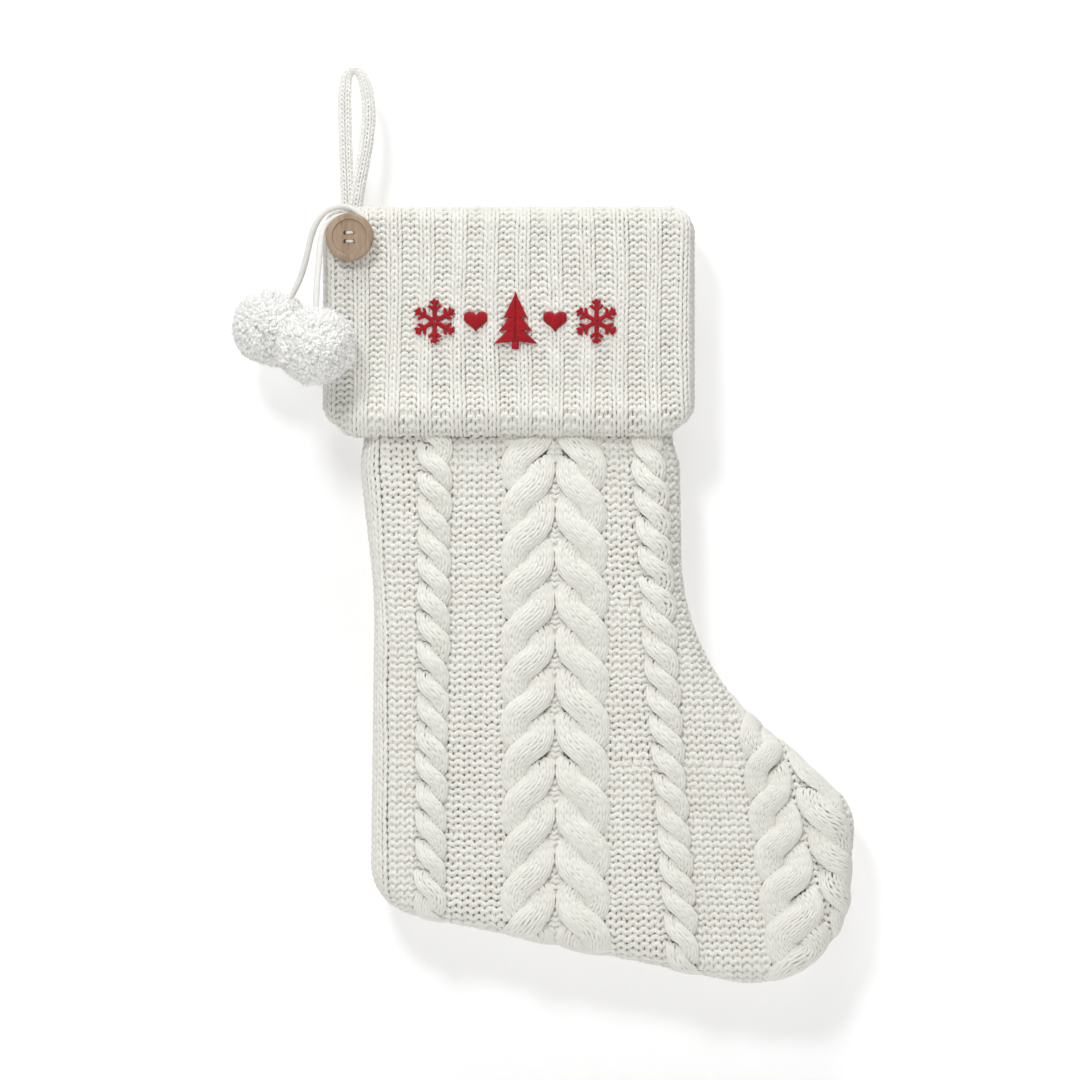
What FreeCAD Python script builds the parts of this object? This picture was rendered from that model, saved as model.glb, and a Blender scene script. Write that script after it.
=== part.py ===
import FreeCAD, Part
import math
import os

import Sketcher

# A knitted hanging stocking, in millimetres.
# It hangs in the XZ plane with its face towards -Y and +Z up.
# The origin is the point inside the hanging loop's eye that rests on a hook.

DIMENSIONS = {
    # leg and foot outline: corners of the straight sides, and how far each corner is rounded
    "leg_top": -92.5,
    "leg_left_top": -9.4,
    "leg_right_top": 199.2,
    "ankle_left": 16.3,
    "ankle_left_height": -325.0,
    "heel_left": 13.8,
    "heel_base": -517.0,
    "toe_right": 303.0,
    "toe_base": -577.0,
    "toe_tip_right": 311.0,
    "toe_tip_height": -457.5,
    "instep_right": 203.5,
    "instep_height": -363.0,
    "ankle_round": 300.0,
    "heel_round": 32.0,
    "toe_base_round": 60.0,
    "toe_tip_round": 28.0,
    "instep_round": 140.0,
    # knitted walls
    "leg_half_depth": 19.0,
    "leg_wall": 5.0,
    "leg_rim_round": 13.0,
    "cuff_left": -16.1,
    "cuff_right": 210.2,
    "cuff_top": -84.6,
    "cuff_base": -218.9,
    "cuff_half_depth": 26.0,
    "cuff_wall": 4.5,
    "cuff_corner_round": 13.0,
    "cuff_rim_round": 11.0,
    # woven lining
    "lining_top": -90.0,
    "lining_left_top": 6.0,
    "lining_right_top": 189.2,
    "lining_inset": 10.0,
    "lining_sole_inset": 12.0,
    "lining_half_depth": 13.5,
    "lining_wall": 1.0,
    "lining_rim_round": 8.0,
    # mouth
    "mouth_left": -9.0,
    "mouth_right": 190.0,
    "mouth_half_depth": 12.5,
    "mouth_stitch_radius": 0.4,
    "mouth_stitch_tall": 4.5,
    "mouth_stitch_gap": 0.1,
    "mouth_stitch_margin": 9.0,
    # seams and hem
    "seam_gap": 0.3,
    "seam_thick": 2.0,
    "seam_width": 6.0,
    "leg_seam_left_gap": 24.0,
    "leg_seam_right_gap": 2.0,
    "lining_seam_thick": 1.2,
    "lining_seam_gap": 26.0,
    "lining_seam_width": 4.0,
    "cuff_seam_thick": 1.2,
    "cuff_seam_width": 8.0,
    "cuff_left_seam_top": -100.0,
    "cuff_right_seam_top": -112.0,
    "hem_height": 15.0,
    "hem_thick": 1.4,
    "hem_gap": 0.2,
    "hem_round": 6.2,
    # hanging loop
    "loop_thick": 5.0,
    "loop_base": -89.0,
    "loop_base_left": -7.3,
    "loop_base_right": 5.5,
    "loop_belly_left": -9.6,
    "loop_belly_right": 14.0,
    "loop_belly_height": -28.0,
    "loop_crown": 7.2,
    "loop_crown_left": -8.8,
    "loop_crown_right": 9.8,
    "loop_crown_round": 8.6,
    "loop_hinge_round": 2.49,
    "eye_base": -58.0,
    "eye_base_left": -0.4,
    "eye_base_right": 1.8,
    "eye_belly_left": -1.6,
    "eye_belly_right": 5.8,
    "eye_crown_left": -1.2,
    "eye_crown_right": 4.6,
    "eye_crown_round": 1.6,
    "tab_left": -1.9,
    "tab_right": 5.0,
    "tab_top": -89.4,
    "tab_base": -110.0,
    "tack_height": 3.0,
    "tack_thick": 0.9,
    "tack_width": 6.0,
    "tack_gap": 0.05,
    "tack_upper": -98.0,
    "tack_lower": -106.0,
    # button and its thread
    "button_radius": 15.0,
    "button_thick": 4.2,
    "button_dish_radius": 10.8,
    "button_dish_deep": 1.1,
    "button_edge_round": 1.4,
    "button_dish_round": 0.9,
    "button_hole_radius": 1.25,
    "button_hole_pitch": 5.4,
    "button_across": -0.3,
    "button_back": -31.8,
    "button_height": -103.4,
    "button_tilt": -12.0,
    "thread_thick": 1.5,
    "thread_clearance": 0.15,
    "shank_radius": 3.3,
    "shank_plate": 1.0,
    "shank_long": 4.4,
    # pompoms and their cords
    "cord_thick": 3.9,
    "pompom_left_radius": 23.3,
    "pompom_right_radius": 23.8,
    "pompom_socket_deep": 9.0,
    "pompom_socket_radius": 4.2,
    "tie_radius": 3.4,
    "tie_gap": 0.1,
    # embroidery
    "stitch_thick": 0.8,
    "motif_middle": 101.5,
    "motif_height": -155.0,
    "snowflake_reach": 14.0,
    "snowflake_waist": 6.0,
    "snowflake_spread": 50.0,
    "heart_half_width": 7.5,
    "heart_drop": 7.5,
    "heart_rise": 6.0,
    "heart_spread": 24.5,
    # each tier of the tree: its half width, where the one above it starts, and its level
    "tree_rise": 17.0,
    "trunk_half_width": 2.2,
    "tree_low_width": 13.0,
    "tree_low_level": -12.92,
    "tree_mid_notch": 5.85,
    "tree_mid_width": 10.4,
    "tree_mid_level": -2.55,
    "tree_high_notch": 4.55,
    "tree_high_width": 7.8,
    "tree_high_level": 6.8,
    "backing_left": 30.0,
    "backing_right": 173.0,
    "backing_top": -132.0,
    "backing_base": -178.0,
    "backing_front": -21.4,
    "backing_thick": 0.4,
}

# A cord's route: straight runs between these points, rounded at each one.
LEFT_CORD_ROUTE = [
    (7.0, -27.9, -91.6),
    (2.6, -26.8, -86.4),
    (-3.8, -25.8, -83.7),
    (-11.0, -25.2, -84.1),
    (-17.5, -24.4, -87.6),
    (-22.1, -23.2, -93.9),
    (-25.5, -21.6, -102.8),
    (-28.0, -19.6, -114.0),
    (-30.9, -17.2, -124.4),
    (-34.6, -15.2, -133.0),
    (-39.0, -13.8, -140.4),
]
RIGHT_CORD_ROUTE = [
    (-2.4, -27.0, -89.4),
    (-9.0, -27.4, -90.2),
    (-14.5, -28.5, -93.9),
    (-17.9, -30.5, -99.8),
    (-19.1, -33.2, -108.7),
    (-19.6, -36.8, -118.8),
    (-20.4, -40.6, -129.4),
    (-20.8, -44.6, -140.2),
    (-20.9, -46.9, -149.9),
]
LEFT_POMPOM_CENTRE = (-50.8, -12.0, -158.2)
RIGHT_POMPOM_CENTRE = (-21.0, -51.5, -171.2)

# How many stitches hold the lining along each side of the mouth.
MOUTH_STITCHES = 15
# How much of the shorter run beside it each bend of a cord takes up.
ARC_SHARE = 0.45
# How closely an edge or face has to match the place it is looked for at.
NEAR = 0.01
# How far past an open end an edge has to reach to count as a rim edge.
PAST_END = 0.5

doc = FreeCAD.newDocument("hanging_stocking")
sheet = doc.addObject("Spreadsheet::Sheet", "dims")
for row, (name, value) in enumerate(DIMENSIONS.items(), start=1):
    sheet.set(f"A{row}", name)
    sheet.set(f"B{row}", str(value))
    sheet.setAlias(f"B{row}", name)
doc.recompute()

sub_parts = []


def dim(name):
    """One driving dimension, read from the sheet."""
    return float(sheet.get(name))


def value_of(expression):
    """The number that an expression on the sheet's cells gives."""
    result = sheet.evalExpression(expression)
    return float(getattr(result, "Value", result))


def point(xyz):
    """Three numbers as a point."""
    return FreeCAD.Vector(*xyz)


def finish_part(item, label):
    """Names a finished sub-part and puts it on the list that is written out."""
    item.Label = label
    sub_parts.append(item)
    return item


def feature(shape, label):
    """A sub-part whose shape comes from Part's own functions."""
    item = doc.addObject("Part::Feature", label)
    item.Shape = shape
    item.Placement = FreeCAD.Placement()
    return finish_part(item, label)


# --- sketches ---------------------------------------------------------------------------


def new_body(label):
    """An empty body that carries the sub-part's name."""
    body = doc.addObject("PartDesign::Body", label)
    body.Label = label
    return body


def origin_plane(body, role):
    """One of the body's own three planes."""
    return next(item for item in body.Origin.OriginFeatures if item.Role == role)


def new_sketch(body, name, role):
    """A sketch that lies on one of the body's planes."""
    sketch = body.newObject("Sketcher::SketchObject", name)
    sketch.AttachmentSupport = [(origin_plane(body, role), "")]
    sketch.MapMode = "FlatFace"
    return sketch


def bind(sketch, constraint, expression):
    """Adds a constraint whose value the sheet drives."""
    index = sketch.addConstraint(constraint)
    sketch.setExpression(f"Constraints[{index}]", expression)


def pin_point(sketch, geometry, end, across, along):
    """Holds one point at sheet-driven distances from the sketch's origin."""
    x, y = value_of(across), value_of(along)
    bind(sketch, Sketcher.Constraint("DistanceX", -1, 1, geometry, end, x), across)
    bind(sketch, Sketcher.Constraint("DistanceY", -1, 1, geometry, end, y), along)


def cells(*names):
    """Expressions that read the named cells."""
    return tuple(f"dims.{name}" for name in names)


def polygon(sketch, corners):
    """A closed outline of straight sides whose corners are sheet-driven."""
    spots = [FreeCAD.Vector(value_of(x), value_of(y), 0) for x, y in corners]
    first = sketch.GeometryCount
    count = len(spots)
    for index in range(count):
        side = Part.LineSegment(spots[index], spots[(index + 1) % count])
        sketch.addGeometry(side, False)
    for index in range(count):
        following = first + (index + 1) % count
        sketch.addConstraint(Sketcher.Constraint("Coincident", first + index, 2, following, 1))
    for index, (x, y) in enumerate(corners):
        pin_point(sketch, first + index, 1, x, y)


def circle(sketch, across, along, radius):
    """A circle whose middle and radius are sheet-driven."""
    centre = FreeCAD.Vector(value_of(across), value_of(along), 0)
    ring = Part.Circle(centre, FreeCAD.Vector(0, 0, 1), value_of(radius))
    index = sketch.addGeometry(ring, False)
    pin_point(sketch, index, 3, across, along)
    bind(sketch, Sketcher.Constraint("Radius", index, value_of(radius)), radius)


# --- features ---------------------------------------------------------------------------


def pad(body, sketch, length, towards_back=False, middle=False):
    """Raises a sketch's shape to one side, or to both sides of its plane."""
    item = body.newObject("PartDesign::Pad", f"{body.Label}_pad")
    item.Profile = sketch
    item.setExpression("Length", length)
    item.Reversed = towards_back
    item.Midplane = middle
    doc.recompute()
    return item


def edges_where(shape, test):
    """The names of the edges that pass a test."""
    return [f"Edge{n}" for n, edge in enumerate(shape.Edges, start=1) if test(edge)]


def faces_where(shape, test):
    """The names of the faces that pass a test."""
    return [f"Face{n}" for n, face in enumerate(shape.Faces, start=1) if test(face)]


def fillet(body, base, edges, radius):
    """Rounds the named edges."""
    item = body.newObject("PartDesign::Fillet", f"{body.Label}_fillet")
    item.Base = (base, edges)
    item.setExpression("Radius", radius)
    doc.recompute()
    return item


def runs_along_y_at(x, z):
    """A test for the straight edge that lies along Y at this place."""

    def test(edge):
        ends = [vertex.Point for vertex in edge.Vertexes]
        return len(ends) == 2 and all(math.hypot(p.x - x, p.z - z) < NEAR for p in ends)

    return test


def in_plane_y(depth, above=None, below=None):
    """A test for edges in one plane across Y, apart from any at the open end."""

    def test(edge):
        box = edge.BoundBox
        flat = abs(box.YMin - depth) < NEAR and abs(box.YMax - depth) < NEAR
        kept = True
        if above is not None:
            kept = kept and box.ZMin < above - PAST_END
        if below is not None:
            kept = kept and box.ZMax > below + PAST_END
        return flat and kept

    return test


def flat_face_at(axis, place):
    """A test for the flat face across one axis."""

    def test(face):
        box = face.BoundBox
        low, high = {"y": (box.YMin, box.YMax), "z": (box.ZMin, box.ZMax)}[axis]
        return abs(low - place) < NEAR and abs(high - place) < NEAR

    return test


def hollow(body, base, open_faces, wall):
    """Leaves a wall of even thickness inside the solid, open at the given faces."""
    item = body.newObject("PartDesign::Thickness", f"{body.Label}_wall")
    item.Base = (base, open_faces)
    item.setExpression("Value", wall)
    item.Reversed = True
    item.Join = 1
    doc.recompute()
    return item


def pocket(body, sketch, length=None, reverse=False, both=False):
    """Cuts a sketch's shape out of the body, and makes sure that something was cut."""
    before = body.Shape.Volume
    item = body.newObject("PartDesign::Pocket", f"{body.Label}_pocket")
    item.Profile = sketch
    item.Reversed = reverse
    item.Midplane = both
    if length is None:
        item.Type = 1
    else:
        item.setExpression("Length", length)
    doc.recompute()
    if body.Shape.Volume > before - NEAR:
        raise RuntimeError(f"{body.Label}: the pocket cuts nothing")
    return item


# --- leg, lining and cuff ---------------------------------------------------------------

LEG_CORNERS = [
    (*cells("leg_left_top", "leg_top"), None),
    (*cells("ankle_left", "ankle_left_height"), "dims.ankle_round"),
    (*cells("heel_left", "heel_base"), "dims.heel_round"),
    (*cells("toe_right", "toe_base"), "dims.toe_base_round"),
    (*cells("toe_tip_right", "toe_tip_height"), "dims.toe_tip_round"),
    (*cells("instep_right", "instep_height"), "dims.instep_round"),
    (*cells("leg_right_top", "leg_top"), None),
]


def lining_corners():
    """The leg's corners drawn in, so that the lining hangs clear inside the knitting."""
    inset, sole = "dims.lining_inset", "dims.lining_sole_inset"
    corners = [(*cells("lining_left_top", "lining_top"), None)]
    moves = [
        (f"+ {inset}", ""),
        (f"+ {inset}", f"+ {sole}"),
        (f"- {inset}", f"+ {sole}"),
        (f"- {inset}", f"- {inset} / 2"),
        (f"- {inset}", f"- {inset} / 2"),
    ]
    for (x, z, radius), (across, up) in zip(LEG_CORNERS[1:-1], moves):
        corners.append((f"{x} {across}", f"{z} {up}", radius))
    corners.append((*cells("lining_right_top", "lining_top"), None))
    return corners


def round_corners(body, tip, corners):
    """Rounds the corners of a padded outline, each by its own radius."""
    for x, z, radius in corners:
        if radius is None:
            continue
        edges = edges_where(tip.Shape, runs_along_y_at(value_of(x), value_of(z)))
        tip = fillet(body, tip, edges, radius)
    return tip


def stocking_half(label, corners, depth, rim, wall, top, back):
    """Half of a stocking-shaped bag: an outline with a rounded rim, open at the mouth."""
    body = new_body(label)
    sketch = new_sketch(body, f"{label}_outline", "XZ_Plane")
    polygon(sketch, [(x, z) for x, z, _ in corners])
    tip = pad(body, sketch, depth, towards_back=back)
    tip = round_corners(body, tip, corners)
    face = value_of(depth) if back else -value_of(depth)
    mouth = value_of(top)
    tip = fillet(body, tip, edges_where(tip.Shape, in_plane_y(face, above=mouth)), rim)
    middle = faces_where(tip.Shape, flat_face_at("y", 0.0))
    opening = faces_where(tip.Shape, flat_face_at("z", mouth))
    hollow(body, tip, middle + opening, wall)
    return finish_part(body, label)


def cuff_half(label, back):
    """Half of the turned-down cuff: open below, rolled over the mouth's edge above."""
    body = new_body(label)
    sketch = new_sketch(body, f"{label}_outline", "XZ_Plane")
    corners = [
        cells("cuff_left", "cuff_base"),
        cells("cuff_right", "cuff_base"),
        cells("cuff_right", "cuff_top"),
        cells("cuff_left", "cuff_top"),
    ]
    polygon(sketch, corners)
    tip = pad(body, sketch, "dims.cuff_half_depth", towards_back=back)
    upper = [(x, z, "dims.cuff_corner_round") for x, z in corners[2:]]
    tip = round_corners(body, tip, upper)
    depth = dim("cuff_half_depth")
    face = depth if back else -depth
    rim = edges_where(tip.Shape, in_plane_y(face, below=dim("cuff_base")))
    tip = fillet(body, tip, rim, "dims.cuff_rim_round")
    middle = faces_where(tip.Shape, flat_face_at("y", 0.0))
    opening = faces_where(tip.Shape, flat_face_at("z", dim("cuff_base")))
    hollow(body, tip, middle + opening, "dims.cuff_wall")
    mouth = new_sketch(body, f"{label}_mouth", "XY_Plane")
    side = "dims.mouth_half_depth" if back else "-dims.mouth_half_depth"
    polygon(mouth, [
        ("dims.mouth_left", "0.0"),
        ("dims.mouth_right", "0.0"),
        ("dims.mouth_right", side),
        ("dims.mouth_left", side),
    ])
    pocket(body, mouth)
    return finish_part(body, label)


# --- seams and hem ----------------------------------------------------------------------


def inset_corner(before, here, after, inset):
    """Where two sides meet once both have moved inward, for a loop that turns left."""
    first = (here - before).normalize()
    second = (after - here).normalize()
    inward = FreeCAD.Vector(-first.z, 0, first.x) + FreeCAD.Vector(-second.z, 0, second.x)
    return here + inward * (inset / (1 + first.dot(second)))


def rounded_wire(spots, radii):
    """Straight runs joined by arcs that touch both runs."""
    edges = []
    start = spots[0]
    for index in range(1, len(spots) - 1):
        corner = spots[index]
        arrive = (corner - spots[index - 1]).normalize()
        leave = (spots[index + 1] - corner).normalize()
        turn = arrive.getAngle(leave)
        reach = radii[index - 1] * math.tan(turn / 2)
        enter = corner - arrive * reach
        exit_point = corner + leave * reach
        to_centre = (leave - arrive).normalize()
        middle = corner + to_centre * (radii[index - 1] * (1 / math.cos(turn / 2) - 1))
        edges.append(Part.LineSegment(start, enter).toShape())
        edges.append(Part.Arc(enter, middle, exit_point).toShape())
        start = exit_point
    edges.append(Part.LineSegment(start, spots[-1]).toShape())
    return Part.Wire(edges)


def seam_strip(label, corners, inset, thick, width, left_gap, right_gap):
    """A seam allowance that follows the inside of an outline, down one side and up the other."""
    outline = [FreeCAD.Vector(value_of(x), 0, value_of(z)) for x, z, _ in corners]
    turns = [value_of(radius) for _, _, radius in corners if radius is not None]
    spots = []
    radii = []
    for index in range(1, len(outline) - 1):
        before, here, after = outline[index - 1], outline[index], outline[index + 1]
        spots.append(inset_corner(before, here, after, inset))
        crossing = (here - before).cross(after - here).y
        outward = 1 if crossing > 0 else -1
        radii.append(turns[index - 1] + outward * inset)
    ends = []
    for end, beside, gap, turn in ((0, 1, left_gap, 1), (-1, -2, right_gap, -1)):
        along = (outline[beside] - outline[end]).normalize()
        inward = FreeCAD.Vector(-along.z, 0, along.x) * turn
        ends.append(outline[end] + along * gap + inward * inset)
    path = rounded_wire([ends[0], *spots, ends[1]], radii)
    along = (spots[0] - ends[0]).normalize()
    across = FreeCAD.Vector(-along.z, 0, along.x) * (thick / 2)
    up = FreeCAD.Vector(0, width / 2, 0)
    ring = [ends[0] + across + up, ends[0] - across + up, ends[0] - across - up, ends[0] + across - up]
    profile = Part.makePolygon([*ring, ring[0]])
    return feature(Part.Solid(path.makePipeShell([profile], True, False)), label)


def block(label, low, high):
    """A strip or patch between two opposite corners, each given as expressions."""
    box = doc.addObject("Part::Box", label)
    for size, near, far in zip(("Length", "Width", "Height"), low, high):
        box.setExpression(size, f"({far}) - ({near})")
    for axis, near in zip("xyz", low):
        box.setExpression(f".Placement.Base.{axis}", near)
    return finish_part(box, label)


def cuff_seams():
    """The vertical seams that close the cuff at its two sides."""
    half = "dims.cuff_seam_width / 2"
    base = "dims.cuff_base + dims.hem_height + dims.seam_gap"
    left = "dims.cuff_left + dims.cuff_wall + dims.seam_gap"
    right = "dims.cuff_right - dims.cuff_wall - dims.seam_gap"
    block("cuff_left_seam", (left, f"-{half}", base),
          (f"{left} + dims.cuff_seam_thick", half, "dims.cuff_left_seam_top"))
    block("cuff_right_seam", (f"{right} - dims.cuff_seam_thick", f"-{half}", base),
          (right, half, "dims.cuff_right_seam_top"))


def upright_at(corners):
    """A test for the upright edges at any of these corners."""

    def test(edge):
        ends = [vertex.Point for vertex in edge.Vertexes]
        return any(all(math.hypot(p.x - x, p.y - y) < NEAR for p in ends) for x, y in corners)

    return test


def cuff_hem():
    """The cuff's free edge, turned up inside as a band all the way round."""
    body = new_body("cuff_hem")
    sketch = new_sketch(body, "hem_outline", "XY_Plane")
    bands = {}
    for name, thick in (("outer", "0.0"), ("inner", "dims.hem_thick")):
        side = f"dims.cuff_wall + dims.hem_gap + {thick}"
        half = f"dims.cuff_half_depth - ({side})"
        left, right = f"dims.cuff_left + {side}", f"dims.cuff_right - ({side})"
        bands[name] = [(left, f"-({half})"), (right, f"-({half})"), (right, half), (left, half)]
        polygon(sketch, bands[name])
    sketch.setExpression(".AttachmentOffset.Base.z", "dims.cuff_base")
    doc.recompute()
    tip = pad(body, sketch, "dims.hem_height")
    for name, radius in (("outer", "dims.hem_round"), ("inner", "dims.hem_round - dims.hem_thick")):
        corners = [(value_of(x), value_of(y)) for x, y in bands[name]]
        tip = fillet(body, tip, edges_where(tip.Shape, upright_at(corners)), radius)
    return finish_part(body, "cuff_hem")


def mouth_stitches():
    """Short upright stitches that join the lining's edge to the roll of the cuff."""
    radius, tall = dim("mouth_stitch_radius"), dim("mouth_stitch_tall")
    solids = []
    start = dim("lining_left_top") + dim("mouth_stitch_margin")
    stop = dim("lining_right_top") - dim("mouth_stitch_margin")
    step = (stop - start) / (MOUTH_STITCHES - 1)
    for index in range(MOUTH_STITCHES):
        for side in (-1, 1):
            y = side * (dim("mouth_half_depth") - radius - dim("mouth_stitch_gap"))
            base = FreeCAD.Vector(start + index * step, y, dim("lining_top") - tall / 2)
            solids.append(Part.makeCylinder(radius, tall, base))
    return feature(Part.makeCompound(solids), "mouth_stitches")


# --- hanging loop -----------------------------------------------------------------------


def lies_across_at(height):
    """A test for the edges that lie along X at this height."""

    def test(edge):
        box = edge.BoundBox
        return box.ZMax < height + NEAR and box.YMax - box.YMin < NEAR

    return test


def hanging_loop():
    """The looped knitted tape above its fold line, with its long narrow eye."""
    body = new_body("hanging_loop")
    sketch = new_sketch(body, "loop_outline", "XZ_Plane")
    outer = [
        cells("loop_base_left", "loop_base"),
        cells("loop_base_right", "loop_base"),
        cells("loop_belly_right", "loop_belly_height"),
        cells("loop_crown_right", "loop_crown"),
        cells("loop_crown_left", "loop_crown"),
        cells("loop_belly_left", "loop_belly_height"),
    ]
    polygon(sketch, outer)
    tip = pad(body, sketch, "dims.loop_thick", middle=True)
    rounds = [(*outer[3], "dims.loop_crown_round"), (*outer[4], "dims.loop_crown_round")]
    tip = round_corners(body, tip, rounds)
    eye = new_sketch(body, "loop_eye", "XZ_Plane")
    inner = [
        cells("eye_base_left", "eye_base"),
        cells("eye_base_right", "eye_base"),
        cells("eye_belly_right", "loop_belly_height"),
        ("dims.eye_crown_right", "0.0"),
        ("dims.eye_crown_left", "0.0"),
        cells("eye_belly_left", "loop_belly_height"),
    ]
    polygon(eye, inner)
    tip = pocket(body, eye, "dims.loop_thick * 2", both=True)
    rounds = [(*inner[3], "dims.eye_crown_round"), (*inner[4], "dims.eye_crown_round")]
    tip = round_corners(body, tip, rounds)
    fillet(body, tip, edges_where(tip.Shape, lies_across_at(dim("loop_base"))), "dims.loop_hinge_round")
    return finish_part(body, "hanging_loop")


def loop_ends():
    """The two ends of the tape, one on the other, sewn down between knitting and lining."""
    half = "dims.loop_thick / 2"
    block("loop_sewn_ends", ("dims.tab_left", f"-{half}", "dims.tab_base"),
          ("dims.tab_right", half, "dims.tab_top"))
    solids = []
    middle = (dim("tab_left") + dim("tab_right")) / 2
    width, thick, tall = dim("tack_width"), dim("tack_thick"), dim("tack_height")
    for height in (dim("tack_upper"), dim("tack_lower")):
        for side in (-1, 1):
            near = side * (dim("loop_thick") / 2 + dim("tack_gap"))
            base = FreeCAD.Vector(middle - width / 2, min(near, near + side * thick), height)
            solids.append(Part.makeBox(width, thick, tall, base))
    feature(Part.makeCompound(solids), "loop_tack_stitches")


# --- button -----------------------------------------------------------------------------


def place_on_button(item):
    """Puts a piece made about the origin, facing -Y, on the cuff's upper left corner."""
    turn = FreeCAD.Rotation(FreeCAD.Vector(0, 0, 1), dim("button_tilt"))
    item.Placement = FreeCAD.Placement(FreeCAD.Vector(), turn)
    for axis, cell in zip("xyz", ("button_across", "button_back", "button_height")):
        item.setExpression(f".Placement.Base.{axis}", f"dims.{cell}")


def ring_at(radius, *depths):
    """A test for the rings of one radius about Y, at any of these depths."""

    def test(edge):
        box = edge.BoundBox
        wide = abs(box.XMax - radius) < NEAR and abs(box.ZMax - radius) < NEAR
        return wide and any(abs(box.YMin - y) < NEAR and abs(box.YMax - y) < NEAR for y in depths)

    return test


def button():
    """A turned wooden button: a dished face inside a rounded rim, and four holes."""
    body = new_body("button")
    sketch = new_sketch(body, "button_profile", "XY_Plane")
    face = "-dims.button_thick"
    floor = "dims.button_dish_deep - dims.button_thick"
    profile = [
        ("0.0", "0.0"),
        ("dims.button_radius", "0.0"),
        ("dims.button_radius", face),
        ("dims.button_dish_radius", face),
        ("dims.button_dish_radius", floor),
        ("0.0", floor),
    ]
    polygon(sketch, profile)
    turned = body.newObject("PartDesign::Revolution", "button_turning")
    turned.Profile = sketch
    turned.ReferenceAxis = (sketch, ["V_Axis"])
    turned.Angle = 360
    doc.recompute()

    front = -dim("button_thick")
    outer = edges_where(turned.Shape, ring_at(dim("button_radius"), 0.0, front))
    tip = fillet(body, turned, outer, "dims.button_edge_round")
    inner = edges_where(tip.Shape, ring_at(dim("button_dish_radius"), front))
    fillet(body, tip, inner, "dims.button_dish_round")
    holes = new_sketch(body, "button_holes", "XZ_Plane")
    half = "dims.button_hole_pitch / 2"
    for across in ("-", ""):
        for up in ("-", ""):
            circle(holes, f"{across}{half}", f"{up}{half}", "dims.button_hole_radius")
    pocket(body, holes, "dims.button_thick * 3", both=True)
    place_on_button(body)
    return finish_part(body, "button")


def box_around(middle, size):
    """A box given by the middle of its front face and its size."""
    corner = FreeCAD.Vector(middle[0] - size[0] / 2, middle[1], middle[2] - size[2] / 2)
    return Part.makeBox(*size, corner)


def button_thread():
    """Two bars of thread across the holes, four legs through them and the shank behind."""
    thick, half = dim("thread_thick"), dim("button_hole_pitch") / 2
    gap, plate = dim("thread_clearance"), dim("shank_plate")
    front = dim("button_dish_deep") - dim("button_thick") - thick - gap
    wide = 2 * half + thick
    shapes = []
    for up in (-half, half):
        shapes.append(box_around((0, front, up), (wide, thick, thick)))
        for across in (-half, half):
            shapes.append(box_around((across, front, up), (thick, gap + plate / 2 - front, thick)))
    shapes.append(box_around((0, gap, 0), (wide, plate, wide)))
    base = FreeCAD.Vector(0, gap + plate / 2, 0)
    length = dim("shank_long") - plate / 2
    shank = Part.makeCylinder(dim("shank_radius"), length, base, FreeCAD.Vector(0, 1, 0))
    fused = shank.multiFuse(shapes).removeSplitter()
    item = feature(fused, "button_thread")
    place_on_button(item)
    return item


# --- pompoms ----------------------------------------------------------------------------


def cord(label, route):
    """A round cord along its route; prints its bends and compares its volume."""
    spots = [point(xyz) for xyz in route]
    radii = []
    for before, here, after in zip(spots, spots[1:], spots[2:]):
        shorter = min((here - before).Length, (after - here).Length)
        turn = (here - before).getAngle(after - here)
        radii.append(ARC_SHARE * shorter / math.tan(turn / 2))
    path = rounded_wire(spots, radii)
    thick = dim("cord_thick")
    ring = Part.Circle(spots[0], (spots[1] - spots[0]).normalize(), thick / 2)
    profile = Part.Wire([ring.toShape()])
    solid = Part.Solid(path.makePipeShell([profile], True, True))
    expected = math.pi * (thick / 2) ** 2 * path.Length
    print(label, "length", round(path.Length, 1), "radii", [round(r, 1) for r in radii],
          "volume share", round(solid.Volume / expected, 4))
    return feature(solid, label)


def pompom(side, centre, radius, route):
    """A ball of yarn with a socket where its cord goes in, and the knot inside the socket."""
    middle, end = point(centre), point(route[-1])
    outward = (end - middle).normalize()
    deep = dim("pompom_socket_deep")
    socket_floor = middle + outward * (radius - deep)
    ball = Part.makeSphere(radius, middle)
    socket = Part.makeCylinder(dim("pompom_socket_radius"), deep * 2, socket_floor, outward)
    feature(ball.cut(socket), f"{side}_pompom")
    tie_radius = dim("tie_radius")
    knot_middle = end - outward * (tie_radius + dim("tie_gap"))
    feature(Part.makeSphere(tie_radius, knot_middle), f"{side}_pompom_tie")


# --- embroidery -------------------------------------------------------------------------


def motif(label, corners):
    """One raised patch of satin stitch, lying on the cuff's front face."""
    body = new_body(label)
    sketch = new_sketch(body, f"{label}_outline", "XZ_Plane")
    polygon(sketch, corners)
    sketch.setExpression(".AttachmentOffset.Base.z", "dims.cuff_half_depth")
    pad(body, sketch, "dims.stitch_thick")
    return finish_part(body, label)


def around(middle, offsets):
    """Corners given by their distances from the motif's middle."""
    return [(f"{middle} + ({x})", f"dims.motif_height + ({z})") for x, z in offsets]


def snowflake(side, sign):
    """A six-pointed star of satin stitch."""
    middle = f"dims.motif_middle {sign} dims.snowflake_spread"
    offsets = []
    for index in range(12):
        reach = "dims.snowflake_reach" if index % 2 == 0 else "dims.snowflake_waist"
        angle = 90 + 30 * index
        offsets.append((f"{reach} * cos({angle} deg)", f"{reach} * sin({angle} deg)"))
    motif(f"embroidery_{side}_snowflake", around(middle, offsets))


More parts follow.
